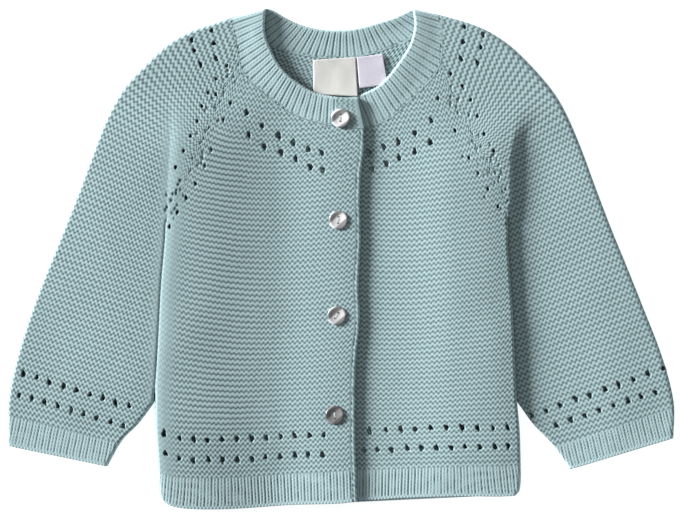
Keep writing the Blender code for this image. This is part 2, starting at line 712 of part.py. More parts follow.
def make_back():
    """The back lies on the surface. Its hem and sides end under those of the fronts."""
    side_lines = []
    for raglan, flank, end in ((RIGHT_BACK_RAGLAN, RIGHT_SIDE, RIGHT_FLANK),
                               (LEFT_BACK_RAGLAN, LEFT_SIDE, LEFT_FLANK)):
        side_lines.append(share_line(raglan + flank + end))
    hem = RIGHT_HEM[:-1] + LEFT_HEM[2:]
    last_point = len(BACK_BAND_SEAM) - 2
    patch = loft_patch(share_line(BACK_BAND_SEAM, 1, last_point), share_line(hem), *side_lines)

    def across(v):
        return (side_lines[1](v) - side_lines[0](v)).length

    seam_length = smooth_line(RIGHT_BACK_RAGLAN + RIGHT_SIDE + RIGHT_FLANK)[0]
    underarm = smooth_line(RIGHT_BACK_RAGLAN)[0] / seam_length
    rows = row_shares(SEAM_INSET / seam_length, 1.0, BACK_ROWS, underarm, seam_length)
    flat_layer("back", patch, rows, across)


# ------------------------------------------------------------------------------ the neckband
BAND_SHARES = (0.0, 0.12, 0.85, 0.95, 1.0)     # points of the outer skin from seam to rim
BAND_INNER_SHARES = (0.0, 0.5, 1.0)
BAND_RIB_START = (0.0, 0.1)     # shares over which the ribs grow, and end short of the rim
BAND_RIB_END = (0.85, 0.96)
RIM_EASE = 0.8                  # how much the rim is rounded down, and over which shares
FLAT_RIM_EASE = 0.5
RIM_EASE_FROM = 0.9
BACK_BAND_BARE = (6.0, 9.0)     # runs from its ends over which the back's ribs grow
INNER_RUN_FADE = 8.0            # run over which the inner skin catches up with the outer one
PLAIN_STEP = 4                  # the inner skin has one row of points for so many outer ones
END_ROWS = 6                    # but as many as the outer skin at the shoulder's fold


def band_relief(share):
    """Ribs of the neckband stop short of its seam and of its rim, which is rounded."""
    ribs = ramp(*BAND_RIB_START, share) * (1.0 - ramp(*BAND_RIB_END, share))
    return ribs, ramp(RIM_EASE_FROM, 1.0, share)


def make_band(name, seam, rim, level, shown, flat=False):
    """A strip of the neckband, from its seam to its rim, with ribs across it."""
    seam_line = share_line(seam)
    rim_line = share_line(rim)
    length = (smooth_line(seam)[0] + smooth_line(rim)[0]) / 2
    ribs = round(length / BAND_PITCH)

    def spot_at(share, v):
        width = (rim_line(v) - seam_line(v)).length
        share = mix(SEAM_INSET / width, 1.0, share)
        return seam_line(v).lerp(rim_line(v), share)

    def height(share, v, spot, inside):
        if flat:
            run = min(v, 1.0 - v) * length
            if inside:
                return 0.0
            raised, rounded = band_relief(share)
            raised *= ramp(*BACK_BAND_BARE, run) * rib_profile(v * ribs)
            return FLOOR_LAYER + BAND_RIB * raised - FLAT_RIM_EASE * rounded
        top = level(spot.x, spot.y) + band_rise(spot.x, share)
        if inside:
            top -= WALL
        else:
            raised, rounded = band_relief(share)
            if shown(spot):
                top += BAND_RIB * raised * rib_profile(v * ribs)
            top -= RIM_EASE * rounded
        run = v * length
        if inside:
            run = max(0.0, run - WALL * (1.0 - ramp(0.0, INNER_RUN_FADE, run)))
        down = 0.0
        if run < BODY_ROLL:
            down = 1.0 - math.sqrt(1.0 - (1.0 - run / BODY_ROLL) ** 2)
        return top - down * (top - FOLD_FOOT)

    def skin(shares, lengthwise, inside):
        lines = []
        for v in lengthwise:
            line = []
            for share in shares:
                spot = spot_at(share, v)
                line.append((share, (spot.x, spot.y, height(share, v, spot, inside))))
            lines.append((v, line))
        return lines

    start = 0.0 if flat else SEAM_INSET / length
    lengthwise = []
    for rib in range(ribs):
        parts = RIB_PARTS if shown(spot_at(0.5, rib / ribs)) else RIBLESS_PARTS
        lengthwise += [(rib + part) / ribs for part in parts]
    lengthwise = [max(start, v) for v in lengthwise] + [1.0]
    plain = [v for i, v in enumerate(lengthwise) if i % PLAIN_STEP == 0 or i < END_ROWS]
    if plain[-1] < 1.0:
        plain.append(1.0)
    inner_start = WALL / length
    inner_lengthwise = plain if flat else [mix(inner_start, 1.0, v) for v in plain]
    outer = skin(BAND_SHARES, lengthwise, False)
    inner = skin(BAND_INNER_SHARES, inner_lengthwise, True)
    return wall(name, outer, inner, AQUA)


def make_bands():
    """One knitted strip on the garment, modelled as its two front stretches and its back."""
    make_band("neckband_right", RIGHT_BAND_SEAM, RIGHT_BAND_RIM, right_front_level, always)
    make_band("neckband_left", LEFT_BAND_SEAM, LEFT_BAND_RIM, left_front_level, beyond_lap)
    make_band("neckband_back", BACK_BAND_SEAM, BACK_BAND_RIM, None, always, flat=True)


# --------------------------------------------------------------------------------- lace holes
POST_SIDES = 6
POST_LENGTH = 12.0      # long enough to pass through the upper layer at any of its levels
POST_MIDDLE = 7.0       # level of a post's middle, which keeps it off the floor layer
FEW_HOLES = 3           # rows of so few holes run down a sleeve, and their holes stand upright


def lace_cutter(name, holes):
    """Posts through a wall. holes is a list of (x, y, turn in radians)."""
    bm = bmesh.new()
    for x, y, turn in holes:
        post = bmesh.ops.create_cone(bm, cap_ends=True, segments=POST_SIDES, radius1=1.0,
                                     radius2=1.0, depth=POST_LENGTH)["verts"]
        cos = math.cos(turn)
        sin = math.sin(turn)
        for vertex in post:
            wide = vertex.co.x * EYELET_HALF_WIDTH
            tall = vertex.co.y * EYELET_HALF_HEIGHT
            vertex.co = Vector((x + wide * cos - tall * sin, y + wide * sin + tall * cos,
                                vertex.co.z + POST_MIDDLE)) * MM
    mesh = bpy.data.meshes.new(name)
    bm.to_mesh(mesh)
    bm.free()
    cutter = bpy.data.objects.new(name, mesh)
    return keep_cutter(cutter)


def keep_cutter(cutter):
    """Put a cutter with the others, where it isn't rendered."""
    CUTTERS.objects.link(cutter)
    cutter.hide_render = True
    cutter.display_type = "WIRE"
    return cutter


def cut(piece, cutter):
    """Cut a piece by a Boolean difference."""
    difference = piece.modifiers.new("holes", "BOOLEAN")
    difference.operation = "DIFFERENCE"
    difference.solver = "EXACT"
    difference.object = cutter


def holes_between(first, last, count):
    """Holes evenly along a straight row, upright to it."""
    turn = math.atan((last[1] - first[1]) / (last[0] - first[0])) if count > FEW_HOLES else 0.0
    return [(mix(first[0], last[0], i / (count - 1)), mix(first[1], last[1], i / (count - 1)),
             turn) for i in range(count)]


def cut_lace(fronts, sleeves):
    """Cut the rows of lace holes through the fronts and the upper layers of the sleeves."""
    hems = {"right": RIGHT_HEM, "left": LEFT_HEM}
    front_holes = {"right": [], "left": []}
    sleeve_holes = {"right": [], "left": []}
    for side, first, last, count, rise in HEM_LACE:
        for i in range(count):
            x = mix(first, last, i / (count - 1))
            front_holes[side].append((x, value_along(hems[side], x) + rise, 0.0))
    for side, line, count in YOKE_LACE:
        at = share_line(line)
        for i in range(count):
            spot = at(i / (count - 1))
            front_holes[side].append((spot.x, spot.y, 0.0))
    for side, first, last, count in CUFF_LACE + SHOULDER_LACE:
        sleeve_holes[side] += holes_between(first, last, count)
    for side in ("right", "left"):
        cut(fronts[side], lace_cutter(f"lace_front_{side}", front_holes[side]))
        cut(sleeves[side], lace_cutter(f"lace_sleeve_{side}", sleeve_holes[side]))


# ------------------------------------------------------------------------- buttons and labels
# Half the outline of a button, from the middle of its face to the middle of its back.
BUTTON_PROFILE = [(0.0, 1.45), (3.4, 1.45), (4.4, BUTTON_HEIGHT), (5.25, 2.15),
                  (BUTTON_RADIUS, 1.4), (5.3, 0.4), (4.6, 0.0), (0.0, 0.0)]
HOLE_SIDES = 8
DRILL_LENGTH = 6.0


def make_button(name, middle, turn, seat):
    """A turned two-hole button with a raised rim."""
    mesh = bpy.data.meshes.new(name)
    points = [(radius * MM, 0.0, height * MM) for radius, height in BUTTON_PROFILE]
    mesh.from_pydata(points, [(i, i + 1) for i in range(len(points) - 1)], [])
    button = bpy.data.objects.new(name, mesh)
    screw = button.modifiers.new("turn", "SCREW")
    screw.steps = BUTTON_SIDES
    screw.render_steps = BUTTON_SIDES
    screw.use_merge_vertices = True
    screw.merge_threshold = 0.00001
    dress(button, PEARL, 0.25)
    place = Vector((middle[0], middle[1], seat)) * MM
    button.location = place
    button.rotation_euler.z = math.radians(turn)
    bm = bmesh.new()
    for offset in (-BUTTON_HOLE_GAP, BUTTON_HOLE_GAP):
        hole = bmesh.ops.create_cone(bm, cap_ends=True, segments=HOLE_SIDES,
                                     radius1=BUTTON_HOLE * MM, radius2=BUTTON_HOLE * MM,
                                     depth=DRILL_LENGTH * MM)["verts"]
        bmesh.ops.translate(bm, verts=hole, vec=(0.0, offset * MM, BUTTON_HEIGHT / 2 * MM))
    cutter_mesh = bpy.data.meshes.new(f"{name}_holes")
    bm.to_mesh(cutter_mesh)
    bm.free()
    cutter = keep_cutter(bpy.data.objects.new(f"{name}_holes", cutter_mesh))
    cutter.location = place
    cutter.rotation_euler.z = math.radians(turn)
    cut(button, cutter)


LABEL_STEPS = 4
LABEL_SEAT = FLOOR_LAYER + 0.4          # a label's underside, where it is sewn to the back
LABEL_NEAR_SIDE = 0.4                   # share of the lift on the side that lifts less


def make_label(name, corners, lift):
    """A folded woven label: a thin slab whose free end lifts a little off the back."""
    bm = bmesh.new()
    grid = []
    for j in range(LABEL_STEPS + 1):
        line = []
        for i in range(LABEL_STEPS + 1):
            u = i / LABEL_STEPS
            v = j / LABEL_STEPS
            start = Vector(corners[0]).lerp(Vector(corners[3]), v)
            end = Vector(corners[1]).lerp(Vector(corners[2]), v)
            spot = start.lerp(end, u)
            height = LABEL_SEAT + lift * v * v * mix(LABEL_NEAR_SIDE, 1.0, u)
            line.append(bm.verts.new(Vector((spot.x, spot.y, height)) * MM))
        grid.append(line)
    for before, after in zip(grid, grid[1:]):
        for i in range(LABEL_STEPS):
            bm.faces.new((before[i], after[i], after[i + 1], before[i + 1]))
    label = finish(name, bm, LABEL_WHITE, 0.6)
    thick = label.modifiers.new("cloth", "SOLIDIFY")
    thick.thickness = LABEL_THICKNESS * MM
    thick.offset = 1.0
    return label


# --------------------------------------------------------------------------------- assembling
def clear_scene():
    """Remove what the scene starts with."""
    for thing in list(bpy.data.objects):
        bpy.data.objects.remove(thing, do_unlink=True)


def new_collection(name):
    """Add a collection to the scene."""
    collection = bpy.data.collections.new(name)
    bpy.context.scene.collection.children.link(collection)
    return collection


clear_scene()
PARTS = new_collection("baby_cardigan")
CUTTERS = new_collection("cutters")
fronts = make_fronts()
sleeve_tops = make_sleeves()
make_back()
make_bands()
cut_lace(fronts, sleeve_tops)
for button in BUTTONS:
    make_button(*button)
make_label("label_main", MAIN_LABEL, 0.25)
make_label("label_size", SIZE_LABEL, 0.4)
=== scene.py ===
# %% [markdown]
# # A baby's knitted cardigan
#
# The cardigan lies flat on its back, buttoned, with its front up. It is knitted in garter stitch
# from a pale aqua cotton, with rows of lace holes, a ribbed hem and cuffs, a ribbed neckband, four
# shell buttons and two labels inside the back neck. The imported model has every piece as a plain
# wall at its real size. This script dresses those walls: it lays the same outlines out again, and
# raises each stitch on them.
#
# +X runs from the wearer's right cuff to the left one, +Y runs up to the collar and +Z points up,
# to the camera. Lengths are millimetres until a mesh is made, which is in metres.

# %% Load the frame
import math

import bpy
import numpy as np
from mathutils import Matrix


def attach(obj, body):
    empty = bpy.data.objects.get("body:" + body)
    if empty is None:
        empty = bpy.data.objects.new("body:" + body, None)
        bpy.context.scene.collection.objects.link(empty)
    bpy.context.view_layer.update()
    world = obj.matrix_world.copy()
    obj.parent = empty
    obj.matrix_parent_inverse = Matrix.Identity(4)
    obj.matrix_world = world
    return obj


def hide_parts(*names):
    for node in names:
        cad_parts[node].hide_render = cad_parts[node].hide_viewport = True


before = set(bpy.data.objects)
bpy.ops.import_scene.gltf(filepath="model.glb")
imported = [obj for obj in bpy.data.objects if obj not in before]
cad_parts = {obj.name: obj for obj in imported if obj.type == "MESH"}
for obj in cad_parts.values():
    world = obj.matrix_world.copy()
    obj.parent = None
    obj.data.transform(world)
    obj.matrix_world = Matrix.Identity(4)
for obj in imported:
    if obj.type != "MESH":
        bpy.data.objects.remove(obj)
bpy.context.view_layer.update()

MM = 0.001

# %% [markdown]
# ## Camera first
#
# The photograph looks straight down, from far enough that the cardigan shows no perspective. A
# pixel of it is 0.6 mm, because its shirt buttons are 19 pixels wide and such buttons measure
# 11.4 mm. A long lens high above the floor gives the same view.

# %% Camera
PIXEL = 0.6                         # size of a pixel of the photograph on the garment
FRAME_WIDTH = 680 * PIXEL
FRAME_MIDDLE = (-0.6, 1.5)
CAMERA_HEIGHT = 1600.0
CLOTH_HEIGHT = 6.0                  # the level that the scale holds for

camera_data = bpy.data.cameras.new("camera")
camera_data.sensor_width = 36.0
camera_data.lens = 36.0 * (CAMERA_HEIGHT - CLOTH_HEIGHT) / FRAME_WIDTH
camera = bpy.data.objects.new("camera", camera_data)
camera.location = (FRAME_MIDDLE[0] * MM, FRAME_MIDDLE[1] * MM, CAMERA_HEIGHT * MM)
bpy.context.scene.collection.objects.link(camera)
bpy.context.scene.camera = camera
print("lens, mm:", round(camera_data.lens, 1))

# %% [markdown]
# ## Small helpers
#
# `ramp` and `mix` shape everything here. They work on whole arrays at once, because a front has
# some ninety thousand points, and a Python loop over them would be slow. `noise` is a smooth random
# field from a seeded table, so that each run of the script knits the same garment.

# %% Ramps and noise
NOISE_CELLS = 61


def ramp(low, high, value):
    """Rise smoothly from 0 at low to 1 at high."""
    t = np.clip((value - low) / (high - low), 0.0, 1.0)
    return t * t * (3.0 - 2.0 * t)


def mix(a, b, t):
    """Go from a to b as t goes from 0 to 1."""
    return a + (b - a) * t


def bump(distance, width):
    """A smooth hump, 1 at distance 0."""
    return np.exp(-(distance / width) ** 2)


def noise(x, y, size, seed):
    """Smooth noise from -1 to 1, in blobs about size across."""
    table = np.random.default_rng(seed).uniform(-1.0, 1.0, (NOISE_CELLS, NOISE_CELLS))
    column = np.floor(x / size).astype(int)
    row = np.floor(y / size).astype(int)
    across = ramp(0.0, 1.0, x / size - column)
    up = ramp(0.0, 1.0, y / size - row)

    def at(right, above):
        return table[(column + right) % NOISE_CELLS, (row + above) % NOISE_CELLS]

    return mix(mix(at(0, 0), at(1, 0), across), mix(at(0, 1), at(1, 1), across), up)


# %% [markdown]
# ## Outlines
#
# A knitter blocks each piece to a drawn outline. The points below are that drawing, read off the
# photograph and rounded: raglan seams, sides, hem, front edges, neckband and sleeves.
# They are the imported model's points, except along the buttonhole front's edge, which lies up to
# 0.8 mm further out. A smooth curve goes through them, and a piece is the patch between four.

# %% Smooth lines
class Line:
    """A smooth line through points, or its stretch from one point's number to another's."""

    def __init__(self, points, first=0, last=-1):
        self.spots = np.array(points, float)
        count = len(self.spots)
        steps = np.linalg.norm(np.diff(self.spots, axis=0), axis=1)
        self.runs = np.concatenate([[0.0], np.cumsum(steps)])
        low = np.maximum(np.arange(count) - 1, 0)
        high = np.minimum(np.arange(count) + 1, count - 1)
        spans = (self.runs[high] - self.runs[low])[:, None]
        self.slopes = (self.spots[high] - self.spots[low]) / spans
        self.begin = self.runs[first]
        self.length = self.runs[last] - self.begin

    def at(self, run):
        """The point at a run, in mm, from the line's start."""
        run = self.begin + np.clip(run, 0.0, self.length)
        i = np.clip(np.searchsorted(self.runs, run, side="right") - 1, 0, len(self.runs) - 2)
        step = (self.runs[i + 1] - self.runs[i])[..., None]
        t = (run - self.runs[i])[..., None] / step
        spots = self.spots[i] * (1 - t) ** 2 * (1 + 2 * t) + self.spots[i + 1] * t * t * (3 - 2 * t)
        bends = self.slopes[i] * t * (1 - t) ** 2 - self.slopes[i + 1] * t * t * (1 - t)
        return spots + bends * step

    def share(self, share):
        """The point at a share, 0 to 1, of the line's length."""
        return self.at(np.asarray(share) * self.length)


class Joined:
    """Two lines end to end."""

    def __init__(self, first, second):
        self.first = first
        self.second = second
        self.length = first.length + second.length

    def at(self, run):
        ahead = (run < self.first.length)[..., None]
        return np.where(ahead, self.first.at(run), self.second.at(run - self.first.length))

    def share(self, share):
        return self.at(np.asarray(share) * self.length)


def loft(top, bottom, left, right):
    """Blend four edges, each a function of a share, into a flat patch of (u, v)."""
    corners = [edge(np.array(end)) for edge in (top, bottom) for end in (0.0, 1.0)]

    def at(u, v):
        up = u[..., None]
        down = v[..., None]
        across = mix(left(v), right(v), up)
        along = mix(top(u), bottom(u), down)
        flat = mix(mix(corners[0], corners[1], up), mix(corners[2], corners[3], up), down)
        return across + along - flat

    return at


# %% The drawn outline
RAGLAN = {
    "right": [(-61.2, 119.1), (-66.0, 109.5), (-71.4, 99.9), (-78.3, 82.5), (-86.4, 64.5),
              (-94.2, 44.7), (-104.4, 24.3)],
    "left": [(60.0, 117.9), (63.0, 108.3), (66.2, 100.0), (74.4, 81.7), (84.2, 63.5),
             (94.2, 45.3), (100.2, 21.9)],
}
SIDE = {
    "right": [(-105.6, 11.1), (-108.0, -16.5), (-109.4, -44.1), (-111.0, -71.7), (-111.8, -85.3)],
    "left": [(100.4, 7.5), (101.5, -6.1), (103.6, -36.9), (105.2, -71.7), (105.9, -86.3)],
}
FLANK = {
    "right": [(-111.6, -102.9), (-110.4, -120.9), (-109.8, -135.3), (-109.0, -142.0),
              (-106.8, -145.6)],
    "left": [(107.4, -102.9), (108.0, -120.9), (108.0, -134.0), (107.2, -139.5),
             (105.0, -142.3)],
}
CREASE = {
    "right": [(-104.4, 24.3), (-104.0, 42.5), (-102.4, 71.8), (-102.6, 88.0), (-103.0, 120.0)],
    "left": [(100.2, 21.9), (101.0, 39.9), (101.2, 59.1), (102.8, 74.0), (104.0, 120.0)],
}
HEM = {
    "right": [(-106.8, -145.6), (-102.0, -148.2), (-94.8, -149.7), (-75.6, -150.3),
              (-56.4, -149.7), (-29.4, -147.9), (-1.8, -147.0), (9.6, -145.8)],
    "left": [(-13.8, -144.6), (18.6, -145.0), (37.8, -143.8), (57.0, -143.1), (76.2, -142.7),
             (95.4, -142.8), (105.0, -142.3)],
}
FRONT_EDGE = {
    "right": [(14.0, 77.9), (13.8, 66.9), (13.0, 58.5), (11.8, 49.5), (11.5, 32.1), (11.8, 11.7),
              (10.6, -14.7), (11.2, -37.5), (9.2, -58.5), (8.5, -80.1), (8.5, -108.3),
              (9.0, -123.3), (9.6, -145.8)],
    "left": [(-13.8, 77.7), (-13.8, -144.6)],
}
BAND_SEAM = {
    "right": [(-67.2, 144.6), (-63.6, 134.5), (-61.2, 119.1), (-56.4, 108.6), (-47.0, 99.8),
              (-36.3, 91.2), (-24.6, 84.9), (-9.6, 80.5), (2.4, 78.6), (14.0, 77.9)],
    "left": [(60.3, 146.4), (60.9, 134.5), (60.0, 117.9), (55.2, 108.6), (47.9, 101.0),
             (37.5, 90.9), (31.0, 85.2), (23.4, 81.0), (12.0, 77.8), (-13.8, 77.7)],
    "back": [(-67.2, 144.6), (-55.0, 134.0), (-38.4, 126.0), (-22.5, 122.0), (-6.6, 120.3),
             (8.4, 120.9), (26.3, 125.4), (46.0, 134.0), (60.3, 146.4)],
}
BAND_RIM = {
    "right": [(-45.4, 150.3), (-45.8, 136.3), (-42.7, 126.4), (-37.3, 116.4), (-30.9, 109.2),
              (-25.0, 104.9), (-16.2, 99.8), (-6.6, 97.4), (2.4, 96.6), (9.9, 96.6)],
    "left": [(43.0, 150.1), (44.2, 139.8), (41.2, 128.1), (34.6, 117.6), (27.4, 108.4),
             (22.8, 104.1), (16.2, 100.4), (8.0, 97.6), (-2.0, 96.2), (-13.8, 95.8)],
    "back": [(-45.4, 150.3), (-41.6, 149.6), (-33.6, 144.9), (-24.6, 140.7), (-12.6, 138.0),
             (-0.6, 137.4), (11.4, 139.0), (23.4, 142.3), (32.6, 145.3), (43.0, 150.1)],
}
BACK_RAGLAN = {
    "right": [(-55.0, 134.0), (-66.0, 112.0), (-77.0, 90.0), (-94.2, 50.0), (-104.4, 24.3)],
    "left": [(46.0, 134.0), (60.0, 112.0), (72.0, 90.0), (90.0, 50.0), (100.2, 21.9)],
}
SLEEVE_FOLD = {
    "right": [(-67.2, 144.6), (-78.6, 140.7), (-91.2, 136.3), (-104.4, 128.7), (-117.6, 116.7),
              (-130.8, 102.3), (-141.0, 84.3), (-148.2, 66.3), (-159.0, 37.5), (-171.0, 7.5),
              (-183.0, -22.5), (-192.6, -51.0), (-198.0, -72.0), (-200.3, -86.0),
              (-200.5, -94.0), (-200.5, -112.5)],
    "left": [(60.3, 146.4), (78.6, 141.0), (90.6, 135.5), (105.0, 125.1), (124.2, 104.7),
             (133.8, 90.3), (143.4, 68.7), (153.0, 42.9), (162.6, 17.7), (172.2, -5.7),
             (181.8, -29.7), (191.4, -54.3), (197.0, -72.0), (200.0, -86.0), (200.4, -94.0),
             (199.8, -108.0)],
}
SLEEVE_FREE = {
    "right": [(-113.0, -87.5), (-121.8, -99.3), (-131.4, -109.2), (-140.4, -124.8)],
    "left": [(107.6, -88.6), (115.2, -99.0), (127.0, -111.6), (138.0, -126.7)],
}
print("outline points:", sum(len(points) for part in (RAGLAN, SIDE, FLANK, HEM, FRONT_EDGE, BAND_SEAM,
                                                      BAND_RIM, SLEEVE_FOLD, SLEEVE_FREE)
                             for points in part.values()))

# %% [markdown]
# ## How high the cloth lies
#
# A flat garment isn't flat: the body's sides swell up, the right sleeve swells beside them and the
# left one drops into a valley, and the buttonhole front climbs onto the button front. These levels
# are formulas of a point's place on the table, so pieces that meet agree on the height of their
# seam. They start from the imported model's, but the swellings and valleys are deeper here, as the
# shading of the photograph asks for. A slow noise makes the cloth lie less evenly.

# %% Levels
FLOOR_LAYER = 2.0
FOLD_FOOT = 2.3
TOP_LEVEL = 5.6
LAP_LEVEL = 7.0
UNDERLAP_LEVEL = 3.7
SIDE_RIDGE = (4.5, 3.2)             # height of the swelling along the right side and the left one
SIDE_RIDGE_IN = (6.0, 16.0)         # how far inside the fold its crest is
SIDE_RIDGE_OUTER = (14.0, 28.0)     # how wide it is towards the fold
SIDE_RIDGE_INNER = (42.0, 44.0)     # and towards the middle
FOLD_FADE = ((62.0, 106.0), (56.0, 96.0))   # from and to which y a side's fold fades out
LEFT_HEM_FOLD = 0.2                 # how strong the left fold is at the hem. It grows to full
LEFT_HEM_FADE = (-145.0, -112.0)    # strength over these y
BODY_SINK = 0.4
HOLLOW = 0.6                        # the right front sinks a little between its side and its edge
HOLLOW_X = -40.0
HOLLOW_WIDTH = 26.0
SLEEVE_SINK = (-3.35, 2.7)          # how deep a sleeve lies beside the body. The right one swells
SLEEVE_SWELL = (0.0, 1.0)
SWELL_SPAN = (14.0, 60.0)           # over which distance from the body it grows
SLEEVE_FALL = (3.4, 0.4)            # how much lower the outer fold of a sleeve lies
FALL_SPAN = (8.0, 95.0)
CUFF_SHARE = (0.3, 1.0)             # how much of all that is left at a cuff, and over which y
CUFF_FADE = (-118.0, -62.0)
UNDERARM = (20.0, 34.0)             # below these y a sleeve has its own level right from the fold
DROP_WIDTH = 3.2                    # above them it leaves the body's level over this distance,
DROP_WIDTH_HIGH = (3.2, 17.0)       # and over this one past DROP_WIDENS, which are y too
DROP_WIDENS = (60.0, 90.0)
RAGLAN_FOOT = 24.0                  # above this y a sleeve's points on the body take its level
CREASE_FADE = (-1.0, 9.0)           # the y, from where the right sleeve parts from the body, over
CREASE_LOSS = 0.88                  # which the folds there lose this share of their depth
LAP_SPAN = (-40.0, 4.0)             # over which x the buttonhole front climbs
UNDERLAP_SPAN = (13.0, 68.0)        # and over which the button front dips
LIT_FOLD = 3.0                      # how far inside the right side its lit fold lies
LIT_WIDTH = 4.0                     # half its width, and how softly it ends
LIT_CALM = 0.75                     # how much less relief and painted shade the cloth has there
SETTLE = 0.22                       # how unevenly the cloth lies
SETTLE_SIZE = 24.0


def crossing_table(side):
    """The line of the body's side as x against y, for np.interp."""
    points = CREASE[side] + SIDE[side] + FLANK[side]
    return np.array(sorted((y, x) for x, y in points)).T


SIDE_TABLES = {side: crossing_table(side) for side in ("right", "left")}


def fold_distance(x, y):
    """How far a point lies inside the line of the body's side. It is negative on a sleeve."""
    right_heights, right_places = SIDE_TABLES["right"]
    left_heights, left_places = SIDE_TABLES["left"]
    return np.minimum(x - np.interp(y, right_heights, right_places),
                      np.interp(y, left_heights, left_places) - x)


def fold_strength(x, y):
    """The side fold is full below the underarm and fades out on the way to the shoulder."""
    near_hem = np.where(x < 0.0, 1.0, mix(LEFT_HEM_FOLD, 1.0, ramp(*LEFT_HEM_FADE, y)))
    return near_hem - near_hem * of_side([ramp(*ends, y) for ends in FOLD_FADE], x)


def of_side(pair, x):
    """A value that differs between the right side of the garment and the left one."""
    return np.where(x < 0.0, pair[0], pair[1])


def side_ridge(distance, x):
    """The height of the soft swelling along the body's side."""
    past = distance - of_side(SIDE_RIDGE_IN, x)
    width = np.where(past < 0.0, of_side(SIDE_RIDGE_OUTER, x), of_side(SIDE_RIDGE_INNER, x))
    return of_side(SIDE_RIDGE, x) * bump(past, width)


def body_level(x, y):
    """The outer face of the body."""
    settle = SETTLE * noise(x, y, SETTLE_SIZE, 3)
    ridge = side_ridge(fold_distance(x, y), x) - BODY_SINK
    ridge = ridge - HOLLOW * bump(x - HOLLOW_X, HOLLOW_WIDTH)
    return TOP_LEVEL + settle + fold_strength(x, y) * ridge


def sleeve_level(x, y):
    """The outer face of a sleeve. It agrees with the body's at the fold, and drops from there."""
    distance = -fold_distance(x, y)
    below_underarm = 1.0 - ramp(*UNDERARM, y)
    edge = mix(DROP_WIDTH, of_side(DROP_WIDTH_HIGH, x), ramp(*DROP_WIDENS, y))
    drop = np.maximum(ramp(0.0, edge, distance), below_underarm)
    flat_low = mix(of_side(CUFF_SHARE, x), 1.0, ramp(*CUFF_FADE, y))
    valley = of_side(SLEEVE_SWELL, x) * ramp(*SWELL_SPAN, distance) - of_side(SLEEVE_SINK, x) * flat_low
    valley = valley - of_side(SLEEVE_FALL, x) * flat_low * ramp(*FALL_SPAN, distance)
    ridge = side_ridge(0.0, x) - BODY_SINK
    settle = SETTLE * noise(x, y, SETTLE_SIZE, 3)
    level = TOP_LEVEL + settle + fold_strength(x, y) * mix(ridge, valley, drop)
    return np.where((distance <= 0.0) & (y > RAGLAN_FOOT), body_level(x, y), level)


def fold_depth(side, y):
    """How far down the two folds at the body's side go, as a share.

    Where the right sleeve lies against the body they only make a crease.
    """
    if side == "left":
        return np.ones_like(y)
    parting = SIDE["right"][-1][1]
    return 1.0 - CREASE_LOSS * ramp(parting + CREASE_FADE[0], parting + CREASE_FADE[1], y)


def right_front_level(x, y):
    """The buttonhole front climbs onto the button front that it overlaps."""
    return mix(body_level(x, y), LAP_LEVEL, ramp(*LAP_SPAN, x))


def left_front_level(x, y):
    """The button front dips below the other one."""
    return mix(UNDERLAP_LEVEL, body_level(x, y), ramp(*UNDERLAP_SPAN, x))


FRONT_LEVELS = {"right": right_front_level, "left": left_front_level}


def calm(x, y):
    """Less relief, and less painted shade between the loops, where the cloth is stretched over the lit
    fold of the right side and the light falls full on it.
    """
    past = np.abs(fold_distance(x, y) - LIT_FOLD) - LIT_WIDTH
    on_fold = bump(np.maximum(past, 0.0), LIT_WIDTH)
    return 1.0 - LIT_CALM * on_fold * fold_strength(x, y) * (x < 0.0)


# %% [markdown]
# ## Rows and columns of points
#
# A piece of knitting is a grid of stitches, so its mesh is a grid too. Columns stand at even
# distances along the cloth from one edge. Where the piece narrows, the columns past the far edge
# stay on it and their empty faces are left out, which gives a clean outline without a cutter.
# Where an edge folds over, the cloth goes on down round the fold, and the same even distances
# crowd together as seen from above, as real stitches do there.

# %% Laying out a grid
ROLL_ARC = 1.5                      # length of the cloth round a fold, for each mm of its width
EDGE_GAP = 0.01                     # half the gap that is left at a seam


class Grid:
    """Points of a piece in rows. near and far are (width of the fold, how far it folds)."""

    def __init__(self, patch, rows, steps, across, near, far, from_right=False):
        near_width, near_roll = near
        far_width, far_roll = far
        near_arc = ROLL_ARC * near_width
        far_arc = ROLL_ARC * far_width
        cloth = across - near_width - far_width + near_arc + far_arc
        self.v = rows[:, None]
        self.run = np.minimum(steps[None, :], cloth)
        self.left = cloth - self.run
        self.last = np.argmax(self.run >= cloth - 1e-9, axis=1)
        near_turn = np.clip(self.run / near_arc, 0.0, 1.0) * math.pi / 2
        far_turn = np.clip(self.left / far_arc, 0.0, 1.0) * math.pi / 2
        middle = self.run - near_arc + near_width
        distance = np.where(self.run < near_arc, near_width * (1.0 - np.cos(near_turn)), middle)
        on_far = self.left < far_arc
        distance = np.where(on_far, across - far_width * (1.0 - np.cos(far_turn)), distance)
        distance = np.clip(distance, EDGE_GAP, across - EDGE_GAP)
        self.near_down = near_roll * (1.0 - np.sin(near_turn))
        self.far_down = far_roll * (1.0 - np.sin(far_turn))
        self.distance = distance
        self.across = across
        share = distance / across
        self.u = 1.0 - share if from_right else share
        spots = patch(self.u, self.v + np.zeros_like(self.u))
        self.x = spots[..., 0]
        self.y = spots[..., 1]
        self.rim = np.zeros_like(self.x)
        self.core = np.zeros(self.x.shape, bool)


def outward(points):
    """The direction that each point of a grid faces."""
    normal = np.cross(np.gradient(points, axis=1), np.gradient(points, axis=0))
    length = np.linalg.norm(normal, axis=2, keepdims=True)
    normal = np.divide(normal, length, out=np.zeros_like(normal), where=length > 1e-9)
    return normal * np.sign(normal[..., 2].mean())


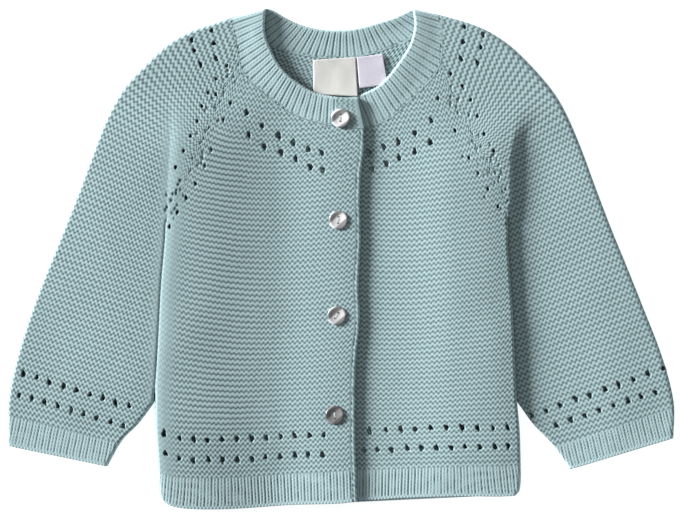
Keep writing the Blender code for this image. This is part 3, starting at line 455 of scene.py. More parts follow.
# %% [markdown]
# ## Stitches
#
# Garter stitch is rows of purl bumps. Along each ridge the yarn swings up and down once a stitch,
# and it shows best where it turns. Seen from above that is a chequer of bright bumps, with a dark
# line between one ridge and the next. So the height of the cloth is the sum of two waves: one that
# goes up and down along both directions, for the chequer, and one that goes across the ridges, for
# the lines. Where the cloth is stretched the second is the stronger one. Noise bends it all a
# little, because no two stitches are alike. Only half of that height or so is raised, and the
# material draws the rest. A rib is a column of Vs: two strands side by side.

# %% Garter stitch and rib
STITCH = (2.8, 2.95)                # width of a stitch on the right front and on the left one
SLEEVE_STITCH = (2.85, 3.05)
RIDGE = (3.24, 3.17)                # one garter ridge, two rows of knitting
SLEEVE_RIDGE = (3.5, 3.45)          # the same on a sleeve, which hangs looser
RIB_PITCH = 3.9
BAND_PITCH = 4.0
RIB_STITCH = 2.3                    # height of a V in a rib
LOOP_SHARE = (0.45, 1.0)            # how strong the chequer of loops is, pulled tight and slack
LINE_SHARE = (1.0, 0.30)            # and how strong the lines between the ridges
DEPTH_POWER = (2.2, 1.4)            # above 1 the gaps are narrow and the bumps wide
GARTER_TOP = 0.10
GARTER_DEPTH = 0.34
RIB_TOP = 0.12
RIB_DEPTH = 0.34
RIB_STRANDS = (0.235, 0.24)         # a rib's two strands: how far from its middle, how wide
BAND_STRANDS = (0.205, 0.24)
SEAM_LEVEL = 0.05
SEAM_REACH = 9.0                    # how far from a raglan the stitches are pulled about
ROW_START = 0.2                     # the first row lies this far past the seam
RAISED = {"right": 0.5, "left": 0.5}            # of the relief, how much a front has
SLEEVE_RAISED = {"right": 0.6, "left": 0.35}    # and how much a sleeve, whose loops lie flatter


def pulled_about(stitch, ridge, mess):
    """Where each point falls in the stitches once they have wandered. mess is 0 to 1."""
    wander = 1.0 + 1.2 * mess
    shift = 0.15 * wander * noise(stitch, ridge, 2.3, 11) + 0.20 * mess * noise(stitch, ridge, 0.8, 14)
    lift = 0.07 * wander * noise(stitch, ridge, 3.1, 12) + 0.14 * mess * noise(stitch, ridge, 0.8, 15)
    return stitch + shift, ridge + lift


def garter(stitch, ridge, slack):
    """Height of garter stitch, in mm, at a place counted in stitches and ridges.

    slack is 1 where the loops stand apart, as a chequer, and 0 where they are pulled into lines.
    """
    loop_share = mix(*LOOP_SHARE, slack)
    line_share = mix(*LINE_SHARE, slack)
    loops = loop_share * np.cos(2 * math.pi * stitch) * np.sin(2 * math.pi * ridge)
    lines = line_share * np.cos(2 * math.pi * ridge)
    most = np.hypot(loop_share, line_share)
    depth = 0.5 - 0.5 * (loops - lines) / most
    uneven = 1.0 + 0.30 * noise(stitch, ridge, 0.9, 13)
    return GARTER_TOP - GARTER_DEPTH * depth ** mix(*DEPTH_POWER, slack) * uneven


def rib(place, along, strands=RIB_STRANDS):
    """Height of a rib, in mm, at a place counted in ribs and in Vs along them."""
    middle, width = strands
    place = place + 0.04 * noise(place, along, 3.0, 21)
    offset = np.abs(place % 1.0 - 0.5) - middle
    strand = np.sqrt(np.clip(1.0 - (offset / width) ** 2, 0.0, 1.0))
    chain = np.cos(2 * math.pi * (along + 2.2 * offset)) * strand
    uneven = 1.0 + 0.30 * noise(place, along, 1.3, 22)
    return RIB_TOP - RIB_DEPTH * (1.0 - strand) * uneven + 0.06 * chain


# %% [markdown]
# ## Lace holes
#
# A yarn-over leaves a hole and pushes its neighbours aside. A Boolean cut would slice straight
# through the stitches, so here the grid itself gives way: points near a hole move outwards, the
# few in its middle are left out, and the rim sinks like the yarn that goes round behind.

# %% Opening a hole
HOLE_REACH = 2.0                    # how far round a hole the stitches move, in its own radii
HOLE_CORE = 0.45                    # the part of a hole whose points are left out
HOLE_OPEN = 0.86                    # where its rim ends up
HOLE_RIM = 0.32
HOLE_DEPTH = 1.3
# painted shade on the sunk rim of a lace hole, given as gap
HOLE_SHADE = 1.0
STRAY_COUNT = 46                    # stray pits along one raglan, on either piece
STRAY_REACH = 4.5                   # how far from it most of them lie


def pierce(grid, holes):
    """Open holes of (x, y, half width, half height, turn, start of its lobes) in a grid."""
    for x, y, wide, tall, turn, lobes in holes:
        cos = math.cos(turn)
        sin = math.sin(turn)
        p = ((grid.x - x) * cos + (grid.y - y) * sin) / wide
        q = ((grid.y - y) * cos - (grid.x - x) * sin) / tall
        angle = np.arctan2(q, p)
        lobe = 1.0 + 0.16 * np.sin(3 * angle + lobes) + 0.12 * np.sin(5 * angle + 3 * lobes)
        near = np.hypot(p, q) / lobe
        moved = HOLE_OPEN + (near - HOLE_CORE) * (HOLE_REACH - HOLE_OPEN) / (HOLE_REACH - HOLE_CORE)
        inside = near < HOLE_REACH
        pull = np.where(inside, moved / np.maximum(near, 0.05), 1.0)
        grid.x = np.where(inside, x + pull * (p * wide * cos - q * tall * sin), grid.x)
        grid.y = np.where(inside, y + pull * (p * wide * sin + q * tall * cos), grid.y)
        grid.rim = np.where(inside, np.maximum(grid.rim, bump(moved - HOLE_OPEN, HOLE_RIM)), grid.rim)
        grid.core |= near < HOLE_CORE


def dimple(grid, pits):
    """How deep small pits of (x, y, radius, depth) are at each point."""
    deep = np.zeros_like(grid.x)
    for x, y, radius, depth in pits:
        deep = np.maximum(deep, depth * bump(np.hypot(grid.x - x, (grid.y - y) * 0.75), radius))
    return deep


def small_holes(places):
    """The regular small holes that the raglan decreases leave."""
    return [(x, y, 0.72, 0.95, 0.3 * math.sin(7 * x), x + y) for x, y in places]


def stray_pits(line, count, reach, seed):
    """Small pits scattered on both sides of a raglan, where the stitches are pulled about."""
    chance = np.random.default_rng(seed)
    spots = Line(line).share(np.array([chance.uniform(0.03, 1.0) for _ in range(count)]))
    return [(x + chance.normal(0.0, reach), y + chance.uniform(-2.0, 2.0),
             chance.uniform(0.5, 0.8), chance.uniform(0.4, 0.95)) for x, y in spots]


# %% [markdown]
# ## From points to a mesh
#
# The same function turns every grid into a mesh. It also turns the open edges under by the
# cloth's thickness, so that a hem or a front edge shows a rounded lip, and it stores what the
# materials read: a UV map counted in stitches and ridges, `gap`, which says how deep a point lies
# between the loops and so how much shade is painted there, `drawn`, which is 1 on garter stitch,
# and how `slack` that is.

# %% Knitting a mesh
LIP = [(0.0, -0.75), (0.35, -1.5), (1.1, -1.95)]   # the turned edge: distance in, and height
LIP_AIM = 4                         # it turns towards the fourth column or row from the edge
# the painted shade of a turned-under edge, given as gap
LIP_SHADE = 0.3
PAINTED_FOLD_SHADE = 0.6                    # painted shade on a fold that faces the sun, which would show too bright
DEEPEST, HIGHEST = -0.26, 0.12      # relief that counts as a full gap, and as the top of a bump
COARSE_STEP = 2.0                   # distance of the columns where no view sees them
FACING_FACES = 4000                 # how many faces tell which way a mesh faces


def turned_under(edge, inner, depth):
    """The rows of points that an edge turns through, each a little further in and lower."""
    inwards = (inner - edge) * (1.0, 1.0, 0.0)
    inwards /= np.maximum(np.linalg.norm(inwards, axis=1, keepdims=True), 1e-6)
    return [edge + inwards * (step * abs(depth)) + np.array([0.0, 0.0, drop]) * depth
            for step, drop in LIP]


def add_lips(points, own, lips):
    """Turn the near and the bottom side of a grid under, as deep as lips says: -1 to 1.

    A negative depth turns it up, which closes a layer that lies on the table.
    """
    count = len(LIP)
    if "near" in lips:
        turned = turned_under(points[:, 0], points[:, LIP_AIM], lips["near"])
        points = np.concatenate([np.stack(turned[::-1], axis=1), points], axis=1)
        own = np.hstack([np.tile(np.arange(count), (len(own), 1)), own + count])
    if "bottom" in lips:
        turned = turned_under(points[-1], points[-1 - LIP_AIM], lips["bottom"])
        points = np.concatenate([points, np.stack(turned, axis=0)], axis=0)
        own = np.vstack([own, np.repeat(own[[-1]], count, axis=0)])
    return points, own


def padded_like(values, lips, fill=None):
    """Give a grid of values its lips: a repeat of its border, or one value."""
    pads = [(0, len(LIP) if "bottom" in lips else 0), (len(LIP) if "near" in lips else 0, 0)]
    if fill is None:
        return np.pad(values, pads, mode="edge")
    return np.pad(values, pads, constant_values=fill)


def knit_mesh(name, points, last, stitch, ridge, gap, core=None, lips=None, loops=None):
    """Make an object from a grid of points in mm.

    lips gives the depth of each turned side. loops is where garter loops are drawn, and how slack.
    """
    lips = lips or {}
    drawn, slack = loops or (np.zeros_like(gap), np.zeros_like(gap))
    own = np.minimum(np.arange(points.shape[1])[None, :], last[:, None])
    skip = np.zeros(own.shape, bool) if core is None else core
    points, own = add_lips(points, own, lips)
    stitch, ridge, slack, skip = (padded_like(v, lips) for v in (stitch, ridge, slack, skip))
    gap = padded_like(gap, lips, LIP_SHADE)
    drawn = padded_like(drawn, lips, 0.0)

    rows, columns = points.shape[:2]
    index = own + np.arange(rows)[:, None] * columns
    corners = np.stack([index[:-1, :-1], index[:-1, 1:], index[1:, 1:], index[1:, :-1]], axis=-1)
    corners = corners.reshape(-1, 4)
    corners = corners[~skip.ravel()[corners].any(axis=1)]
    flat_top = corners[:, 0] == corners[:, 1]
    flat_bottom = corners[:, 2] == corners[:, 3]
    quads = corners[~flat_top & ~flat_bottom]
    upper = corners[flat_bottom & ~flat_top][:, :3]
    lower = corners[flat_top & ~flat_bottom][:, 1:]
    used, fresh = np.unique(np.concatenate([quads.ravel(), upper.ravel(), lower.ravel()]),
                            return_inverse=True)
    quad_part, upper_part, lower_part = np.split(
        fresh.ravel(), [quads.size, quads.size + upper.size])
    faces = (quad_part.reshape(-1, 4).tolist() + upper_part.reshape(-1, 3).tolist()
             + lower_part.reshape(-1, 3).tolist())
    mesh = bpy.data.meshes.new(name)
    mesh.from_pydata((points.reshape(-1, 3)[used] * MM).tolist(), [], faces)
    return dress_mesh(name, mesh, stitch.ravel()[used], ridge.ravel()[used],
                      {"gap": gap.ravel()[used], "drawn": drawn.ravel()[used],
                       "slack": slack.ravel()[used]})


def dress_mesh(name, mesh, stitch, ridge, values):
    """Store what the materials read, and link the mesh as an object."""
    corners = np.zeros(len(mesh.loops), np.int32)
    mesh.loops.foreach_get("vertex_index", corners)
    uv = mesh.uv_layers.new(name="stitches")
    uv.data.foreach_set("uv", np.stack([stitch[corners], ridge[corners]], axis=1).ravel())
    for label, value in values.items():
        stored = mesh.attributes.new(label, "FLOAT", "POINT")
        stored.data.foreach_set("value", value.astype(np.float32))
    mesh.polygons.foreach_set("use_smooth", np.ones(len(mesh.polygons), bool))
    mesh.update()
    piece = bpy.data.objects.new(name, mesh)
    bpy.context.scene.collection.objects.link(piece)
    up = sum(face.normal.z * face.area for face in mesh.polygons[:FACING_FACES])
    if (up < 0) == (not name.endswith("_under")):
        mesh.flip_normals()
    print(name, len(mesh.polygons), "faces")
    return piece


def gap_of(relief):
    """How deep a point lies between the loops, from 0 on a bump to 1 in a gap: the share of painted
    shade there.
    """
    return 1.0 - np.clip((relief - DEEPEST) / (HIGHEST - DEEPEST), 0.0, 1.0)


def even_steps(length, step, skip=0.0):
    """Distances along the cloth. The first ones, over skip mm, are coarse."""
    start = np.arange(0.0, skip, COARSE_STEP)
    return np.concatenate([start, np.arange(skip, length + 3 * step, step)])


# %% [markdown]
# ## Cotton yarn
#
# The yarn is a matt mercerised cotton of several plies. Its colour is nearly even; shade is painted
# into it, lighter where a loop stands up and darker in the gaps between the loops, where shade
# falls. A node group mixes those from `gap` and from two sizes of mottling, and gives the height of
# the plies for a bump. Another group draws the loops of garter stitch from the UV map, with painted
# shade in their gaps, sharper than a mesh of this size could hold them. It also serves the
# undersides, which lie on the table and have no raised stitches.
# Both groups give only colours and heights, so they can be baked.

# %% Node groups
def new_group(name, inputs, outputs):
    """A shader node group with named inputs, given as (name, kind, value), and outputs."""
    tree = bpy.data.node_groups.new(name, "ShaderNodeTree")
    for label, kind, value in inputs:
        socket = tree.interface.new_socket(label, in_out="INPUT", socket_type=kind)
        if value is not None:
            socket.default_value = value
    for label, kind in outputs:
        tree.interface.new_socket(label, in_out="OUTPUT", socket_type=kind)
    return tree, tree.nodes.new("NodeGroupInput"), tree.nodes.new("NodeGroupOutput")


def math_node(tree, operation, *operands, clamp=False):
    """A Math node. Each operand is a socket or a number."""
    node = tree.nodes.new("ShaderNodeMath")
    node.operation = operation
    node.use_clamp = clamp
    for slot, operand in zip(node.inputs, operands):
        if isinstance(operand, (int, float)):
            slot.default_value = operand
        else:
            tree.links.new(operand, slot)
    return node.outputs[0]


def between(tree, low, high, share):
    """The value at a share of the way from low to high."""
    return math_node(tree, "ADD", math_node(tree, "MULTIPLY", share, high - low), low)


def noise_node(tree, vector, scale, detail):
    """A Noise Texture's value."""
    node = tree.nodes.new("ShaderNodeTexNoise")
    node.inputs["Scale"].default_value = scale
    node.inputs["Detail"].default_value = detail
    tree.links.new(vector, node.inputs["Vector"])
    return node.outputs["Fac"]


def mix_node(tree, factor, first, second, blend="MIX"):
    """A colour mix. Each colour is a socket or a value."""
    node = tree.nodes.new("ShaderNodeMix")
    node.data_type = "RGBA"
    node.blend_type = blend
    tree.links.new(factor, node.inputs[0])
    for slot, colour in ((node.inputs[6], first), (node.inputs[7], second)):
        if isinstance(colour, tuple):
            slot.default_value = colour
        else:
            tree.links.new(colour, slot)
    return node.outputs[2]


def build_yarn_group():
    """Colour of cotton yarn, with shade painted into its gaps, and the height of its plies."""
    tree, given, result = new_group(
        "cotton_yarn",
        [("Place", "NodeSocketVector", None), ("Gap", "NodeSocketFloat", 0.0),
         # Loop is the yarn's colour on a bump, Shade the painted shade in a gap
         ("Loop", "NodeSocketColor", (0.44, 0.598, 0.623, 1.0)),
         ("Shade", "NodeSocketColor", (0.042, 0.088, 0.098, 1.0))],
        [("Color", "NodeSocketColor"), ("Height", "NodeSocketFloat")])
    place = given.outputs["Place"]
    blotches = noise_node(tree, place, 90.0, 2.0)
    fuzz = noise_node(tree, place, 1500.0, 3.0)
    depth = math_node(tree, "POWER", given.outputs["Gap"], 0.95)
    shade = math_node(tree, "MULTIPLY_ADD", fuzz, 0.30, -0.15)
    depth = math_node(tree, "ADD", depth, shade, clamp=True)
    colour = mix_node(tree, depth, given.outputs["Loop"], given.outputs["Shade"])
    warm = math_node(tree, "MULTIPLY_ADD", blotches, 0.5, -0.18, clamp=True)
    colour = mix_node(tree, warm, colour, (0.86, 0.93, 0.96, 1.0), "MULTIPLY")
    tree.links.new(colour, result.inputs["Color"])
    tree.links.new(fuzz, result.inputs["Height"])
    return tree


MOST_HEIGHT = (1.10, 1.05)          # the highest sum of both waves, pulled tight and slack


def build_loops_group():
    """The loops of garter stitch from a UV map: how deep each point lies, from 0 to 1. The material
    paints that depth as shade.
    """
    tree, given, result = new_group(
        "garter_loops", [("Stitches", "NodeSocketVector", None), ("Slack", "NodeSocketFloat", 1.0)],
        [("Gap", "NodeSocketFloat")])
    split = tree.nodes.new("ShaderNodeSeparateXYZ")
    tree.links.new(given.outputs["Stitches"], split.inputs[0])
    slack = given.outputs["Slack"]
    along = math_node(tree, "MULTIPLY", split.outputs[0], 2 * math.pi)
    up = math_node(tree, "MULTIPLY", split.outputs[1], 2 * math.pi)
    waves = math_node(tree, "MULTIPLY", math_node(tree, "COSINE", along), math_node(tree, "SINE", up))
    loops = math_node(tree, "MULTIPLY", waves, between(tree, *LOOP_SHARE, slack))
    lines = math_node(tree, "COSINE", up)
    lines = math_node(tree, "MULTIPLY", lines, between(tree, *LINE_SHARE, slack))
    height = math_node(tree, "SUBTRACT", loops, lines)
    height = math_node(tree, "DIVIDE", height, between(tree, *MOST_HEIGHT, slack))
    depth = math_node(tree, "SUBTRACT", 0.5, math_node(tree, "MULTIPLY", height, 0.5), clamp=True)
    depth = math_node(tree, "POWER", depth, between(tree, *DEPTH_POWER, slack))
    tree.links.new(depth, result.inputs["Gap"])
    return tree


YARN = build_yarn_group()
LOOPS = build_loops_group()
print("node groups:", YARN.name, LOOPS.name)


# %% Cotton materials
DRAWN_SHARE = 0.85                  # of the shade between the loops, how much is drawn
FUZZ_SHARE = 0.45                   # of the yarn's mottling, how much counts as height
BUMP_STRENGTH = 0.7
DRAWN_HEIGHT = 0.0007               # metres, of the loops on an underside
FUZZ_HEIGHT = 0.00012               # metres, of the fuzz on raised stitches
WEAVE_HEIGHT = 0.00002              # metres, of a label's threads


def new_material(name, settings):
    """A material, its node tree and its shader, whose sockets get the settings."""
    material = bpy.data.materials.new(name)
    material.use_nodes = True
    shader = material.node_tree.nodes["Principled BSDF"]
    for label, value in settings.items():
        shader.inputs[label].default_value = value
    return material, material.node_tree, shader


def stitch_map(tree):
    """The UV map that counts stitches and ridges."""
    node = tree.nodes.new("ShaderNodeUVMap")
    node.uv_map = "stitches"
    return node.outputs["UV"]


def own_place(tree):
    """The place on the object."""
    return tree.nodes.new("ShaderNodeTexCoord").outputs["Object"]


def bump_node(tree, height, distance, strength=1.0):
    """A Bump node's normal."""
    node = tree.nodes.new("ShaderNodeBump")
    node.inputs["Strength"].default_value = strength
    node.inputs["Distance"].default_value = distance
    tree.links.new(height, node.inputs["Height"])
    return node.outputs["Normal"]


def attribute_node(tree, name):
    """A value that is stored on the mesh."""
    node = tree.nodes.new("ShaderNodeAttribute")
    node.attribute_name = name
    return node.outputs["Fac"]


def cotton(name, flat=False):
    """Knitted cotton, with shade painted between its loops. Where flat, its stitches are only drawn."""
    material, tree, shader = new_material(name, {
        "Roughness": 0.88, "Specular IOR Level": 0.25, "Sheen Weight": 0.12, "Sheen Roughness": 0.6})
    yarn = tree.nodes.new("ShaderNodeGroup")
    yarn.node_tree = YARN
    tree.links.new(own_place(tree), yarn.inputs["Place"])
    loops = tree.nodes.new("ShaderNodeGroup")
    loops.node_tree = LOOPS
    tree.links.new(stitch_map(tree), loops.inputs["Stitches"])
    gap = loops.outputs["Gap"]
    raised = gap
    if not flat:
        tree.links.new(attribute_node(tree, "slack"), loops.inputs["Slack"])
        drawn = attribute_node(tree, "drawn")
        raised = math_node(tree, "MULTIPLY", gap, drawn)
        # the painted shade between the loops: the stored gap, sharpened by the drawn loops
        stored = attribute_node(tree, "gap")
        more = math_node(tree, "SUBTRACT", gap, stored)
        share = math_node(tree, "MULTIPLY", drawn, DRAWN_SHARE)
        gap = math_node(tree, "ADD", stored, math_node(tree, "MULTIPLY", more, share))
    tree.links.new(gap, yarn.inputs["Gap"])
    fuzz = math_node(tree, "MULTIPLY", yarn.outputs["Height"], FUZZ_SHARE)
    height = math_node(tree, "SUBTRACT", fuzz, raised)
    normal = bump_node(tree, height, DRAWN_HEIGHT if flat else FUZZ_HEIGHT, BUMP_STRENGTH)
    tree.links.new(yarn.outputs["Color"], shader.inputs["Base Color"])
    tree.links.new(normal, shader.inputs["Normal"])
    return material


knitted_cotton = cotton("knitted_cotton")
underside_cotton = cotton("underside_cotton", flat=True)


def settle_piece(piece, nodes, material=None):
    """Give a finished piece its material and its body, and hide the nodes that it stands for."""
    if material:
        piece.data.materials.append(material)
    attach(piece, "root")
    if nodes:
        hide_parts(*nodes)
    return piece


# %% [markdown]
# ## The two fronts
#
# Each front is knitted upwards from its ribbed hem. Its rows follow the hem at first and hang lower
# in the middle than at the sides higher up. Two rows of lace holes follow the neckline, and the
# stitches are uneven round them. The free edge is a smooth slipped stitch. The front is laid
# from that edge, so its stitches stay whole there, and end at the raglan, where the knitter
# decreases. A height map on one big plane would stretch at the fold, and this grid doesn't.

# %% Rows of lace on the fronts
EYELET = (1.02, 1.55)               # half the width and height of a lace hole
HEM_LACE = {
    # first x, last x, holes, height above the hem's edge
    "right": [(-105.5, -10.2, 12, 41.4), (-105.3, -10.6, 12, 29.4)],
    "left": [(17.6, 100.2, 10, 41.2), (13.4, 100.8, 11, 29.6)],
}
YOKE_LACE = {
    # the upper and the lower row of holes; above the lower one the yoke's stitches are looser and more
    # uneven
    "right": ([(-68.0, 99.0), (-56.8, 87.5), (-47.6, 79.5), (-37.0, 73.5), (-28.0, 69.0),
               (-19.2, 65.7), (-11.4, 63.4), (13.0, 61.0)],
              [(-76.0, 85.0), (-55.6, 74.1), (-45.9, 67.1), (-35.5, 63.4), (-26.6, 59.7),
               (-18.4, 54.9), (-10.9, 53.1), (13.0, 50.0)]),
    "left": ([(-14.0, 61.0), (16.8, 63.4), (25.8, 67.1), (35.0, 69.7), (45.0, 75.5), (54.2, 82.4),
              (62.0, 94.0)],
             [(-14.0, 50.0), (18.3, 53.4), (27.2, 57.1), (35.4, 60.5), (44.4, 63.7), (54.2, 69.4),
              (74.0, 82.0)]),
}
RAGLAN_PITS = {
    "right": [(-66.3, 93.3), (-70.5, 83.1), (-77.7, 65.1), (-81.6, 55.5), (-87.1, 44.7),
              (-92.6, 36.3), (-98.0, 27.6), (-102.7, 19.1)],
    "left": [(76.8, 60.3), (82.2, 51.0), (88.1, 41.7), (94.2, 31.2), (58.2, 96.3), (68.4, 76.8)],
}


def row_height(table, x):
    """The height, in y, of a row of lace at x."""
    points = np.array(table)
    return np.interp(x, points[:, 0], points[:, 1])


def varied(x, y, seed, turn=0.0, size=1.0):
    """A lace hole of slightly its own place, size, slant and shape."""
    chance = np.random.default_rng(seed)
    wide = EYELET[0] * size * chance.uniform(0.8, 1.15)
    tall = EYELET[1] * size * chance.uniform(0.8, 1.25)
    slant = turn + 0.3 + chance.uniform(-0.3, 0.3)
    x = x + chance.uniform(-0.5, 0.5)
    y = y + chance.uniform(-0.5, 0.5)
    return x, y, wide, tall, slant, chance.uniform(0.0, 2 * math.pi)


def front_holes(side):
    """All holes of a front."""
    holes = small_holes(RAGLAN_PITS[side])
    hem = np.array(HEM[side])
    for first, last, count, rise in HEM_LACE[side]:
        for i, x in enumerate(np.linspace(first, last, count)):
            holes.append(varied(x, np.interp(x, hem[:, 0], hem[:, 1]) + rise, 100 + i + int(rise)))
    for table in YOKE_LACE[side]:
        for i, (x, y) in enumerate(table[1:-1]):
            holes.append(varied(x, y, 300 + i + int(abs(y)), size=1.05))
    return holes


# %% Knit the fronts
EVEN_RISE = 120.0                   # below this height above the hem, rows join equal heights
BODY_ROLL = 2.2
SELVEDGE = 3.2                      # width of the smooth edge
SELVEDGE_CURL = 0.3
SAG = {"right": 0.0007, "left": 0.0003}   # how much lower rows hang in the middle than at a side
HEM_RIB = 19.3
CAST_OFF = 2.0                      # height of the smooth edge that ends a rib
FRONT_STEP = RIB_PITCH / 8          # so that each strand and groove of the ribs has a column
FRONT_ROW_STEP = 0.555
HIDDEN_UNDERLAP = 20.0              # the part of the button front that no view sees is coarse
HEM_LEAN = 2.6                      # how far the ribs lean outwards near the sides
BUTTON_DENT = 0.4                   # how deep a button presses into the cloth
BUTTON_DENT_REACH = 7.0
BUTTON_PLACES = [(-0.4, 84.1), (-1.6, 23.0), (-2.5, -34.3), (-3.8, -94.0)]


def seam_to_fold(y):
    """A side edge is a flat seam along the raglan, 0, and a fold below the underarm, 1."""
    return 1.0 - ramp(16.0, 30.0, y)


def front_ridges(side, grid, rise, patch, edge_length):
    """Count the garter ridges at each point: along the hem at first, and higher up as they sag."""
    level_v = 1.0 - EVEN_RISE / edge_length
    start = patch(grid.u, np.full_like(grid.u, level_v))[..., 1]
    height = np.where(rise <= EVEN_RISE, rise, EVEN_RISE + grid.y - start)
    drawn_up = ramp(-135.0, -10.0, grid.y) * (1.0 - 0.5 * ramp(10.0, 60.0, grid.y))
    return (height - SAG[side] * grid.x ** 2 * drawn_up) / RIDGE[side == "left"]


def ribbed(run, rise):
    """The ribs of a hem or cuff, with its smooth cast-off edge."""
    ribs = rib(run / RIB_PITCH, rise / RIB_STITCH)
    edge = 0.10 + 0.12 * np.cos(2 * math.pi * run / (RIB_PITCH / 2))
    return mix(edge, ribs, ramp(CAST_OFF - 1.0, CAST_OFF + 0.6, rise))


def stretched(side, grid):
    """How slack the garter stitch of a front is. Below the right armhole it is pulled sideways."""
    if side == "left":
        return 0.9 + 0.1 * noise(grid.x, grid.y, 26.0, 51)
    pulled = bump(grid.x + 72.0, 25.0) * ramp(-118.0, -90.0, grid.y)
    return np.clip(1.0 - 0.8 * pulled + 0.15 * noise(grid.x, grid.y, 18.0, 52), 0.0, 1.0)


def meet(relief, distance):
    """Bring the relief of a piece to the level of its seam, at a distance from it."""
    return mix(SEAM_LEVEL, relief, ramp(0.0, 0.5, distance))


def dent(grid, button):
    """How deep a button presses into the cloth at each point."""
    return BUTTON_DENT * bump(np.hypot(grid.x - button[0], grid.y - button[1]), BUTTON_DENT_REACH)


def open_lace(grid, relief, side, seed):
    """Sink the rims of the lace holes, and the stray pits along the raglan."""
    relief = relief * (1.0 - 0.6 * grid.rim) - HOLE_DEPTH * grid.rim
    return relief - dimple(grid, stray_pits(RAGLAN[side], STRAY_COUNT, STRAY_REACH, seed))


def lay_stitches(grid, height, relief):
    """The points of a grid at a height, with the relief standing out from the cloth."""
    base = np.stack([grid.x, grid.y, height], axis=-1)
    return base + outward(base) * relief[..., None]


def knit_front(side):
    """Make one front."""
    seam = Line(RAGLAN[side] + SIDE[side] + FLANK[side])
    edge = Line(FRONT_EDGE[side])
    spare = (seam.length - EVEN_RISE) / (edge.length - EVEN_RISE)
    hem = Line(HEM[side] if side == "right" else HEM[side][::-1])

    def side_line(v):
        rise = (1.0 - v) * edge.length
        rise = np.where(rise > EVEN_RISE, EVEN_RISE + (rise - EVEN_RISE) * spare, rise)
        return seam.at(seam.length - rise)

    patch = loft(Line(BAND_SEAM[side], 2).share, hem.share, side_line, edge.share)
    rows = np.linspace(ROW_START / edge.length, 1.0, int(edge.length / FRONT_ROW_STEP))
    across = np.linalg.norm(edge.share(rows) - side_line(rows), axis=1)[:, None]
    fold = seam_to_fold(side_line(rows)[:, 1])[:, None]
    hidden = HIDDEN_UNDERLAP if side == "left" else 0.0
    steps = even_steps(across.max() + BODY_ROLL * ROLL_ARC, FRONT_STEP, hidden)
    grid = Grid(patch, rows, steps, across, (1.0, 0.15), (BODY_ROLL, fold), from_right=True)
    rise = (1.0 - grid.v) * edge.length + np.zeros_like(grid.x)
    ridge = front_ridges(side, grid, rise, patch, edge.length)
    stitch = grid.run / STITCH[side == "left"]
    pierce(grid, front_holes(side))

    near_seam = bump(grid.left, SEAM_REACH) * (1.0 - fold)
    slack = stretched(side, grid)
    yoke = ramp(-14.0, 2.0, grid.y - row_height(YOKE_LACE[side][1], grid.x))
    mess = np.clip(near_seam + 0.85 * yoke, 0.0, 1.0)
    slack = np.maximum(slack, np.maximum(near_seam, yoke))
    stitch, ridge = pulled_about(stitch, ridge, mess)
    quiet = calm(grid.x, grid.y)
    in_garter = ramp(HEM_RIB - 0.8, HEM_RIB + 0.8, rise)
    stitches = RAISED[side] * quiet * garter(stitch, ridge, slack)
    lean = HEM_LEAN * ramp(60.0, 112.0, grid.run) * (1.0 - rise / HEM_RIB)
    relief = mix(ribbed(grid.run - lean, rise), stitches, in_garter)
    drawn = in_garter * quiet * (1.0 - grid.rim)
    level = FRONT_LEVELS[side](grid.x, grid.y)
    if side == "right":
        slant = np.cos(2 * math.pi * (rise / RIDGE[0] - grid.run / 3.4))
        plain = 0.05 + 0.12 * slant + 0.10 * noise(grid.run, rise, 1.6, 31)
        groove = SELVEDGE - 0.4 + 0.35 * noise(rise, rise, 4.0, 32)
        plain = plain - 0.28 * bump(grid.run - groove, 0.5)
        past_edge = ramp(SELVEDGE - 0.6, SELVEDGE + 0.4, grid.run)
        relief = mix(plain, relief, past_edge)
        drawn = drawn * past_edge
        level = level - SELVEDGE_CURL * np.clip(1.0 - grid.run / SELVEDGE, 0.0, 1.0) ** 2
    else:
        relief = mix(0.0, relief, ramp(0.0, 1.0, grid.run))
    relief = open_lace(grid, relief, side, 61)
    relief = meet(meet(relief, grid.left), grid.v * edge.length)
    drawn = drawn * ramp(0.0, 0.8, np.minimum(grid.left, grid.v * edge.length))

    for button in BUTTON_PLACES:
        level = level - dent(grid, button)
    down = grid.near_down + grid.far_down * fold_depth(side, grid.y)
    points = lay_stitches(grid, level - down * (level - FOLD_FOOT), relief)
    # Painted shade: in the gaps between the loops, on the rims of the lace holes, and on the right
    # side's fold, which faces the sun
    gap = np.maximum(gap_of(relief), HOLE_SHADE * grid.rim)
    gap = mix(gap, PAINTED_FOLD_SHADE, grid.far_down * fold_depth(side, grid.y) * (side == "right"))
    drawn = drawn * (1.0 - grid.far_down)
    lips = {"near": 1.0, "bottom": 1.0}
    piece = knit_mesh(f"knit_front_{side}", points, grid.last, stitch, ridge, gap, grid.core, lips,
                      (drawn, slack))
    settle_piece(piece, [f"front_{side}"], knitted_cotton)
    area = float((across[:-1, 0] * np.linalg.norm(np.diff(edge.share(rows), axis=0), axis=1)).sum())
    return piece, area, float(across.max()), seam.length


fronts = {side: knit_front(side) for side in ("right", "left")}
for side, (piece, area, wide, long) in fronts.items():
    print(side, "front, cut:", round(wide), "x", round(long), "mm,", round(area), "mm2")
